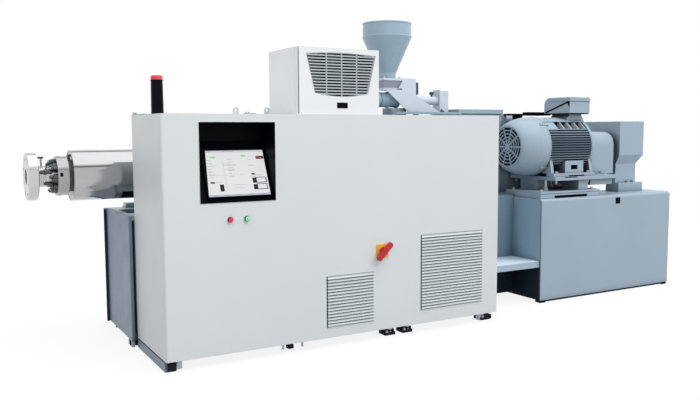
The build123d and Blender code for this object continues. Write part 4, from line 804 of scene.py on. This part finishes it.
def feeder_fittings():
    """Flange bolts, the hopper's rim, the filler knob, the tube's joint and the flange's band."""
    flange, hopper, tube, gear, cover = spans("hopper_flange", "hopper", "metering_tube",
                                              "metering_drive", "metering_box_cover")
    y, z = tube.middle[1:]
    for bolt_x in (flange.left + 16, flange.right - 16):
        for bolt_y in (flange.front + 16, flange.back - 16):
            add_bolt((bolt_x, bolt_y, flange.top), UP, 16)
    for turn in range(6):
        out = around(60 * turn + 30) * TUBE_BOLT_RADIUS
        add_bolt(Vector((tube.left, y, z)) + out, LEFT, 12)
    piece("feeder_bolts", [feeder_paint_and_web_light])
    knob = (gear.right - 150, gear.middle[1] - 8)
    top = z + 36
    add_rod((*knob, top - 6), (*knob, top + 14), 8)
    add_lathe((*knob, top + 12), UP, KNOB, 24)
    add_box(gear.right - 97, gear.right - 60, gear.front - 2, gear.front + 60, gear.bottom - 14,
            gear.bottom + 30, 3.0, 0, Matrix.Rotation(0.6, 3, "Y"),
            (gear.right - 80, gear.front, gear.bottom))
    for offset in (30, 78, 84):
        add_ring((tube.left + offset, y, z), RIGHT, TUBE_RING_RADIUS, 50, 3)
    piece("feeder_dark_fittings", [cap_grey])
    radius = (hopper.right - hopper.left) / 2 - HOPPER_BEAD
    add_ring((*hopper.middle[:2], hopper.top - 10), UP, radius + 3.5, radius - 2, 9.5, FINE)
    piece("hopper_rim", [hopper_paint])
    add_box(cover.right - 2, cover.right + 6, cover.front + 10, cover.back - 10, cover.bottom + 10,
            cover.top - 10, 3.0)
    piece("feeder_cover_lip", [cap_grey])
    front, low, side = flange.front - 0.6, flange.top - 19, flange.right + 5
    add_box(flange.left - 0.6, flange.right, front, flange.back + 0.6, low, flange.top - 1, 0.5)
    foot = flange.bottom - 2
    add_plate([(side, front, low), (side, front, foot), (flange.right - 38, front, foot)],
              (0, -0.8, 0))
    piece("hopper_flange_band", [feeder_paint_and_web_light])


# Gearbox

def gearbox_fittings():
    """Flush screws in the gearbox's top plate, its end cover's bolts, and its joint line."""
    plate, cover, body = spans("gearbox_top_plate", "gearbox_end_cover", "reduction_gearbox")
    for step in range(6):
        x = plate.left + 30 + (plate.right - plate.left - 60) * step / 5
        for y in (plate.front + 24, plate.back - 24):
            add_flush_screw((x, y, plate.top), 24)
    for step in range(5):
        z = cover.bottom + 60 + (cover.top - cover.bottom - 120) * step / 4
        for y in (cover.front + 24, cover.back - 24):
            add_bolt((cover.left + 80, y, z), RIGHT, 22)
    piece("gearbox_bolts", [bright_bolt, deep_black])
    add_box(body.right - 462, body.right + 1, body.front - 1, body.front + 1, plate.bottom - 4,
            plate.bottom + 1)
    piece("gearbox_joint_line", [deep_black])


# Motor

def motor_fittings():
    """Foot bolts with their nuts, the shield's bolts and the cowl's lugs."""
    cowl, plate, box = spans("fan_cowl", "motor_plate", "terminal_box")
    y, z = cowl.middle[1:]
    radius = (cowl.back - cowl.front) / 2
    plate_bottom = plate.top - PLATE_THICKNESS
    for x in (plate.left + 55, plate.left + 420):
        for side in (y - FOOT_BOLT_SIDE, y + FOOT_BOLT_SIDE):
            add_bolt((x, side, plate.top + FOOT_BAR), UP, 22)
            add_bolt((x, side, plate_bottom), DOWN, 22)
            add_rod((x, side, plate_bottom - 30), (x, side, plate_bottom), 8)
    shield = Vector((cowl.right + CORE_LENGTH + SHIELD_THICKNESS, y, z))
    for turn in range(8):
        add_bolt(shield + around(45 * turn + 22.5) * SHIELD_BOLT_RADIUS, RIGHT, 22)
    for side in (box.front + 20, box.front + 190):
        for x in (box.left + 24, box.right - 24):
            add_flush_screw((x, side, box.top), 14)
    piece("motor_bolts", [bright_bolt, deep_black])
    centre = Vector((cowl.right, y, z))
    for degrees in COWL_LUGS:
        add_box(cowl.right - 52, cowl.right + 34, y + radius - 18, y + radius + 8, z - 15, z + 15,
                6.0, 0, turned(degrees), centre)
        out = around(degrees)
        add_bolt(centre + out * (radius + 8) - Vector((30, 0, 0)), out, 12, 1)
    add_ring((cowl.right - 3, y, z), RIGHT, radius + 2.5, radius - 6, 10, FINE)
    piece("motor_lugs", [motor_paint, bright_bolt])


def motor_webs():
    """Pale faces on the motor's upper webs, which are painted light, and the sloping skin beside
    the cowl.
    """
    cowl = Span("fan_cowl")
    y, z = cowl.middle[1:]
    low, top = z + WEB_LOW, z + WEB_TOP
    left, right = cowl.right + 1, cowl.right + WEB_FIRST + WEB_SPACING
    for side in (-1, 1):
        for web in range(1, WEBS):
            x = cowl.right + WEB_FIRST + web * WEB_SPACING - 1.2
            # painted light: pale skins on the webs' left faces
            add_plate([(x, y + side * (WEB_REACH - 2), low + 2),
                       (x, y + side * WEB_INSIDE, low + 2),
                       (x, y + side * (WEB_FLAT + 2), top - 2)], (1.4, 0, 0))
        foot = (y + side * (WEB_REACH + 1), low - 2)
        ridge = (y + side * (WEB_FLAT + 1), top)
        add_plate([(left, *foot), (right, *foot), (right, *ridge), (left, *ridge)],
                  (0, -side * 4, -4), 1)
    piece("motor_web_painted_light_and_skin", [feeder_paint_and_web_light, hopper_paint], angle=20)


def motor_core():
    """Painted shade: the dark core in the gaps between the fins, and the shaded tip of each fin.
    """
    cowl = Span("fan_cowl")
    y, z = cowl.middle[1:]
    left, right = cowl.right + 2, cowl.right + CORE_LENGTH
    add_ring((left, y, z), RIGHT, CORE_RADIUS + 1.5, CORE_RADIUS - 1, right - left, FINE)
    half = (FIN_PITCH - FIN_THICKNESS) / 2 - 0.2
    for gap in range(FINS - 1):
        rise = (gap - (FINS - 2) / 2) * FIN_PITCH
        deep = math.sqrt(FIN_RADIUS ** 2 - (abs(rise) + half) ** 2) - FIN_GAP_DEPTH
        add_box(left, right, y - deep, y + deep, z + rise - half, z + rise + half, 0)
    half = FIN_THICKNESS / 2
    for fin in range(FINS):
        rise = (fin - (FINS - 1) / 2) * FIN_PITCH
        tip = math.sqrt(FIN_RADIUS ** 2 - (abs(rise) + half) ** 2)
        for side in (-1, 1):
            add_box(left + 2, right - 2, y + side * (tip - 3), y + side * (tip + 1.5),
                    z + rise - half - 0.3, z + rise + half + 0.3, 1.0, 1)
    piece("motor_fin_gap_shadows", [fin_gap, fin_tip_shade])


def motor_foot_hollow_shadows():
    """Painted shadow in the dark windows of the motor's feet and between the feet's bars."""
    y = Span("fan_cowl").middle[1]
    plate = Span("motor_plate")
    middle = plate.left + FOOT_MIDDLE
    bar_top = plate.top + FOOT_BAR
    for side in (-1, 1):
        for half, reach, z0, z1 in ((90, 262.8, plate.top + 0.5, plate.top + 11),
                                    (37, 205, bar_top + 28.5, bar_top + 65.5)):
            add_box(middle - half, middle + half, y + side * reach, y + side * (reach - 2), z0, z1)
    piece("motor_foot_hollow_shadows", [deep_black])


def terminal_box_details():
    """The slanted joint between the box and its lid, painted shadow in the corners under the lid
    and below the box, and the cable glands.
    """
    box = Span("terminal_box")
    left, right, front, top = box.left + 6, box.right - 6, box.front, box.top
    turn = Matrix.Rotation(-LID_SLANT, 3, "X")
    about = (left, front + 10, top - 34)
    for x in (left - 0.8, right - 0.8):
        add_box(x, x + 1.6, about[1], about[1] + LID_LENGTH, about[2] - 8, about[2] + 7, 0.4, 0,
                turn, about)
        # painted shadow: a dark triangle under the lid's front corner
        add_plate([(x, front + 6, top - 26), (x, front + 40, top - 38), (x, front + 8, top - 92)],
                  (1.6, 0, 0))
    add_box(left + 10, right - 10, front + 5.4, front + 7.0, top - 35, top - 32)
    # painted shadow: a dark slab under the box
    add_box(left + 4, right - 4, front + 12, box.back - 4, box.bottom - 9, box.bottom, 1.0)
    piece("terminal_box_joint_and_shadow", [deep_black])
    for offset in (60, 120):
        add_bolt((right - 1, front + offset, box.bottom + 45), RIGHT, 34)
    piece("cable_glands", [black_trim])


def cowl_intake():
    """The rolled rim around the intake, and the dark space behind the fan as painted shade."""
    cowl = Span("fan_cowl")
    y, z = cowl.middle[1:]
    add_ring((cowl.left - 3.0, y, z), RIGHT, *INTAKE_RIM, 8, FINE)
    piece("intake_rim", [hopper_paint])
    add_ring((cowl.left + 150, y, z), RIGHT, 200, 30, 3, 64)
    piece("intake_shadow", [inner_shade])


# Transfer box, plate and bases

def drive_end_fittings():
    """Bolts and seams of the pedestal, the transfer box and the coupling's guard."""
    pedestal, box, guard = spans("pedestal_block", "transfer_box", "coupling_guard")
    for x in (box.left + 146, box.left + 214):
        for y in (pedestal.front + 18, pedestal.back - 20):
            add_bolt((x, y, pedestal.top), UP, 24)
    for x in (guard.left + 40, guard.left + 110):
        add_bolt((x, guard.front + 10, guard.bottom + 10), UP, 16)
    for x in (box.left + 22, box.right - 22):
        for y in (box.front + 60, box.middle[1], box.back - 60):
            add_flush_screw((x, y, box.top), 18)
    piece("drive_end_bolts", [bright_bolt, deep_black])
    add_box(guard.right - 0.5, guard.right + 14, guard.front + 16, guard.back - 16,
            guard.bottom + 14, guard.top - 70, 2.0)
    piece("drive_end_seams", [void_dark])


def base_shadows():
    """Painted shade: the dark pit under the shelf, the gap at the frame's corner, the space under
    the drive base's panel and the shaded inner faces.
    """
    side, shelf, body, base = spans("base_side_box", "service_shelf", "base_frame",
                                    "drive_base_panel")
    add_box(side.left + 2, side.right - 2, side.front - 3, side.front + 1, side.bottom,
            shelf.bottom, 0.8)
    # painted shadow: the gap at the frame's corner by the cabinet
    add_box(body.left + 1, body.left + 15.5, body.front + 24, body.front + 29, body.bottom + 50,
            body.top - 31, 0.4, 1)
    left, right = base.left - 1.2, base.left + 0.4
    add_box(left, right, shelf.front - 4, side.front, base.bottom + 1, shelf.bottom, 0.3)
    add_box(left, right, base.front + 72, side.front, shelf.top, base.top - 16, 0.3, 2)
    add_box(base.left + 2, base.right - 2, base.front + 14, base.front + 60, 4, base.bottom + 1,
            2.0)
    add_box(*INNER_COVER, body.front + WALL_DEPTH, body.back - WALL_DEPTH, body.top - 89.5,
            body.top - 87)
    piece("base_shadow_panels", [void_dark, shade_and_trim_blue, inner_painted_shade])


def base_details():
    """The corner strip and its foot, the panels' joint lines, painted light on the shelf's top and
    the small black fittings.
    """
    side, shelf, end, base, latch = spans("base_side_box", "service_shelf", "base_end_panel",
                                          "drive_base_panel", "panel_latch")
    add_box(end.left - 19, end.left + 1, end.back - 12, end.back, end.bottom, end.top - 12, 1.5)
    add_box(end.left - 20, end.left + 1, end.back - 13, end.back, end.top - 12, end.top, 1.5, 1)
    piece("base_corner_strip", [shade_and_trim_blue, machine_paint])
    add_box(end.left - 1.4, end.left + 1, end.back - 10, end.back - 2, end.bottom, end.top - 3)
    add_box(base.left - 0.8, base.left + 1, base.front + 6, base.front + 11, base.bottom + 4,
            base.top - 10, 0.4, 1)
    # painted light: a pale skin over the shelf's top
    add_box(side.left + 1, side.right - 1, shelf.front + 1, side.front - 0.5, shelf.top - 0.5,
            shelf.top + 0.8, 0.3, 2)
    piece("base_joint_lines_and_shelf_light", [deep_black, shade_and_trim_blue, shelf_top_light])
    for y0, y1, rise in CORNER_FOOT:
        add_box(end.left + 1, end.left + 19, y0, y1, 0, end.bottom + rise, 2.0)
    piece("base_corner_bracket", [lit_machine_paint])
    for x, z in ((side.right - 60, shelf.bottom - 34), (side.right - 110, shelf.bottom - 30)):
        add_box(x, x + 34, side.front - 22, side.front - 2, z - 22, z + 10, 3.0)
    for x in (base.left + 4, base.right - 64):
        add_box(x, x + 60, base.front + 4, base.front + 64, 0, 22, 4.0)
    piece("base_black_fittings", [black_trim])
    add_box(latch.left + 10, latch.right - 10, latch.front - 4, latch.front + 1, latch.bottom + 8,
            latch.top - 8, 2.0)
    piece("latch_slider", [black_trim])


def plate_fittings():
    """The jacking screws between the slide rails and the motor's plate, and the rails' shadows."""
    plate, rails = spans("motor_plate", "slide_rails")
    for x in (plate.left + 20, plate.right - 420):
        for y in (plate.front + 130, plate.back - 170):
            add_rod((x, y, rails.top), (x, y, plate.top - PLATE_THICKNESS), 12)
            add_bolt((x, y, rails.top), UP, 34)
    for x in (rails.left + 40, rails.right - 60):
        for y in (rails.front + 36, rails.back - 50):
            add_bolt((x, y, rails.top), UP, 24)
    piece("jacking_screws", [bright_bolt])
    add_box(plate.left + 110, plate.left + 250, plate.front - 0.8, plate.front + 1, plate.top - 8,
            plate.top - 1)
    left, right, low, high = RAIL_HOLLOW
    add_box(left, right, rails.front + 3, rails.front + 8, low, high)
    add_box(rails.left, rails.right, rails.front - 0.8, rails.front + 1, rails.top - 19,
            rails.top - 16)
    piece("rail_slot_shadow", [deep_black])


for build in (screen_image, vent_shadows, recess_edging, cooler_details, roof_fittings,
              button_caps, machine_feet, clamp_fittings, melt_sensors, cover_bands,
              feeder_fittings, gearbox_fittings, motor_fittings, motor_webs, motor_core,
              motor_foot_hollow_shadows, terminal_box_details, cowl_intake, drive_end_fittings,
              base_shadows, base_details, plate_fittings, beacon_rings):
    build()


# Camera, light and floor

def make_camera():
    """Looks along +Y, turned towards +X by the yaw and down by the pitch."""
    forward = Vector((math.sin(CAMERA_YAW) * math.cos(CAMERA_PITCH),
                      math.cos(CAMERA_YAW) * math.cos(CAMERA_PITCH),
                      -math.sin(CAMERA_PITCH)))
    level = Vector((math.cos(CAMERA_YAW), -math.sin(CAMERA_YAW), 0))
    upright = level.cross(forward)
    right = math.cos(CAMERA_ROLL) * level + math.sin(CAMERA_ROLL) * upright
    up = math.cos(CAMERA_ROLL) * upright - math.sin(CAMERA_ROLL) * level
    data = bpy.data.cameras.new("camera")
    data.sensor_width = CAMERA_SENSOR
    data.lens = FOCUS_PIXELS / PHOTO_WIDTH * CAMERA_SENSOR
    camera = in_scene("camera", data)
    turn = Matrix((right, up, -forward)).transposed()
    camera.matrix_world = Matrix.Translation(at(*CAMERA_PLACE)) @ turn.to_4x4()
    scene.camera = camera


def make_sun():
    """A broad soft sun, which metal doesn't mirror as a disc."""
    data = bpy.data.lights.new("soft_sun", "SUN")
    data.energy = SUN_STRENGTH
    data.angle = SUN_ANGLE
    sun = in_scene("soft_sun", data)
    sun.visible_glossy = False
    sun.rotation_euler = Vector(SUN_DIRECTION).to_track_quat("Z", "Y").to_euler()


def shown_rays(tree):
    """1 for what the camera sees, straight on or in metal and glass, and 0 for light on things."""
    rays = tree.nodes.new("ShaderNodeLightPath")
    seen = rays.outputs["Is Camera Ray"]
    for ray in ("Is Glossy Ray", "Is Transmission Ray"):
        either = tree.nodes.new("ShaderNodeMath")
        either.operation = "MAXIMUM"
        tree.links.new(seen, either.inputs[0])
        tree.links.new(rays.outputs[ray], either.inputs[1])
        seen = either.outputs[0]
    return seen


def make_world():
    """The studio as the camera, metal and glass see it, and soft room light for the rest."""
    world = bpy.data.worlds.new("studio")
    scene.world = world
    world.use_nodes = True
    tree = world.node_tree
    place = tree.nodes.new("ShaderNodeTexCoord")
    split = tree.nodes.new("ShaderNodeSeparateXYZ")
    tree.links.new(place.outputs["Generated"], split.inputs["Vector"])
    ramp = tree.nodes.new("ShaderNodeValToRGB")
    elements = ramp.color_ramp.elements
    while len(elements) < len(STUDIO):
        elements.new(0.5)
    for element, (height, grey) in zip(elements, STUDIO):
        element.position = height
        element.color = (grey, grey, grey, 1)
    tree.links.new(split.outputs["Z"], ramp.inputs["Fac"])
    light = mixed(tree, ROOM_LIGHT, ramp.outputs["Color"], shown_rays(tree))
    tree.links.new(light, tree.nodes["Background"].inputs["Color"])


def make_floor():
    """A pale floor that is white to the camera and keeps the machine's soft shadow."""
    data = bmesh.new()
    bmesh.ops.create_grid(data, x_segments=1, y_segments=1, size=1.0)
    bmesh.ops.scale(data, vec=FLOOR_HALF + (1,), verts=data.verts)
    mesh = bpy.data.meshes.new("floor")
    data.to_mesh(mesh)
    data.free()
    floor = in_scene("floor", mesh)
    material = bpy.data.materials.new("floor_paint")
    material.use_nodes = True
    tree = material.node_tree
    tree.nodes.clear()
    out = tree.nodes.new("ShaderNodeOutputMaterial")
    lit = node_of(tree, "ShaderNodeBsdfDiffuse", Color=FLOOR_LIT)
    shown = node_of(tree, "ShaderNodeBsdfDiffuse", Color=FLOOR_SHOWN)
    white = node_of(tree, "ShaderNodeEmission", Color=(1, 1, 1, 1), Strength=1.0)
    pale = node_of(tree, "ShaderNodeMixShader", Fac=FLOOR_WHITE_SHARE)
    seen = tree.nodes.new("ShaderNodeMixShader")
    tree.links.new(shown_rays(tree), seen.inputs[0])
    for source, target in ((shown, pale.inputs[1]), (white, pale.inputs[2]),
                           (lit, seen.inputs[1]), (pale, seen.inputs[2]), (seen, out.inputs[0])):
        tree.links.new(source.outputs[0], target)
    mesh.materials.append(material)


make_camera()
make_sun()
make_world()
make_floor()
scene.view_settings.view_transform = "Standard"
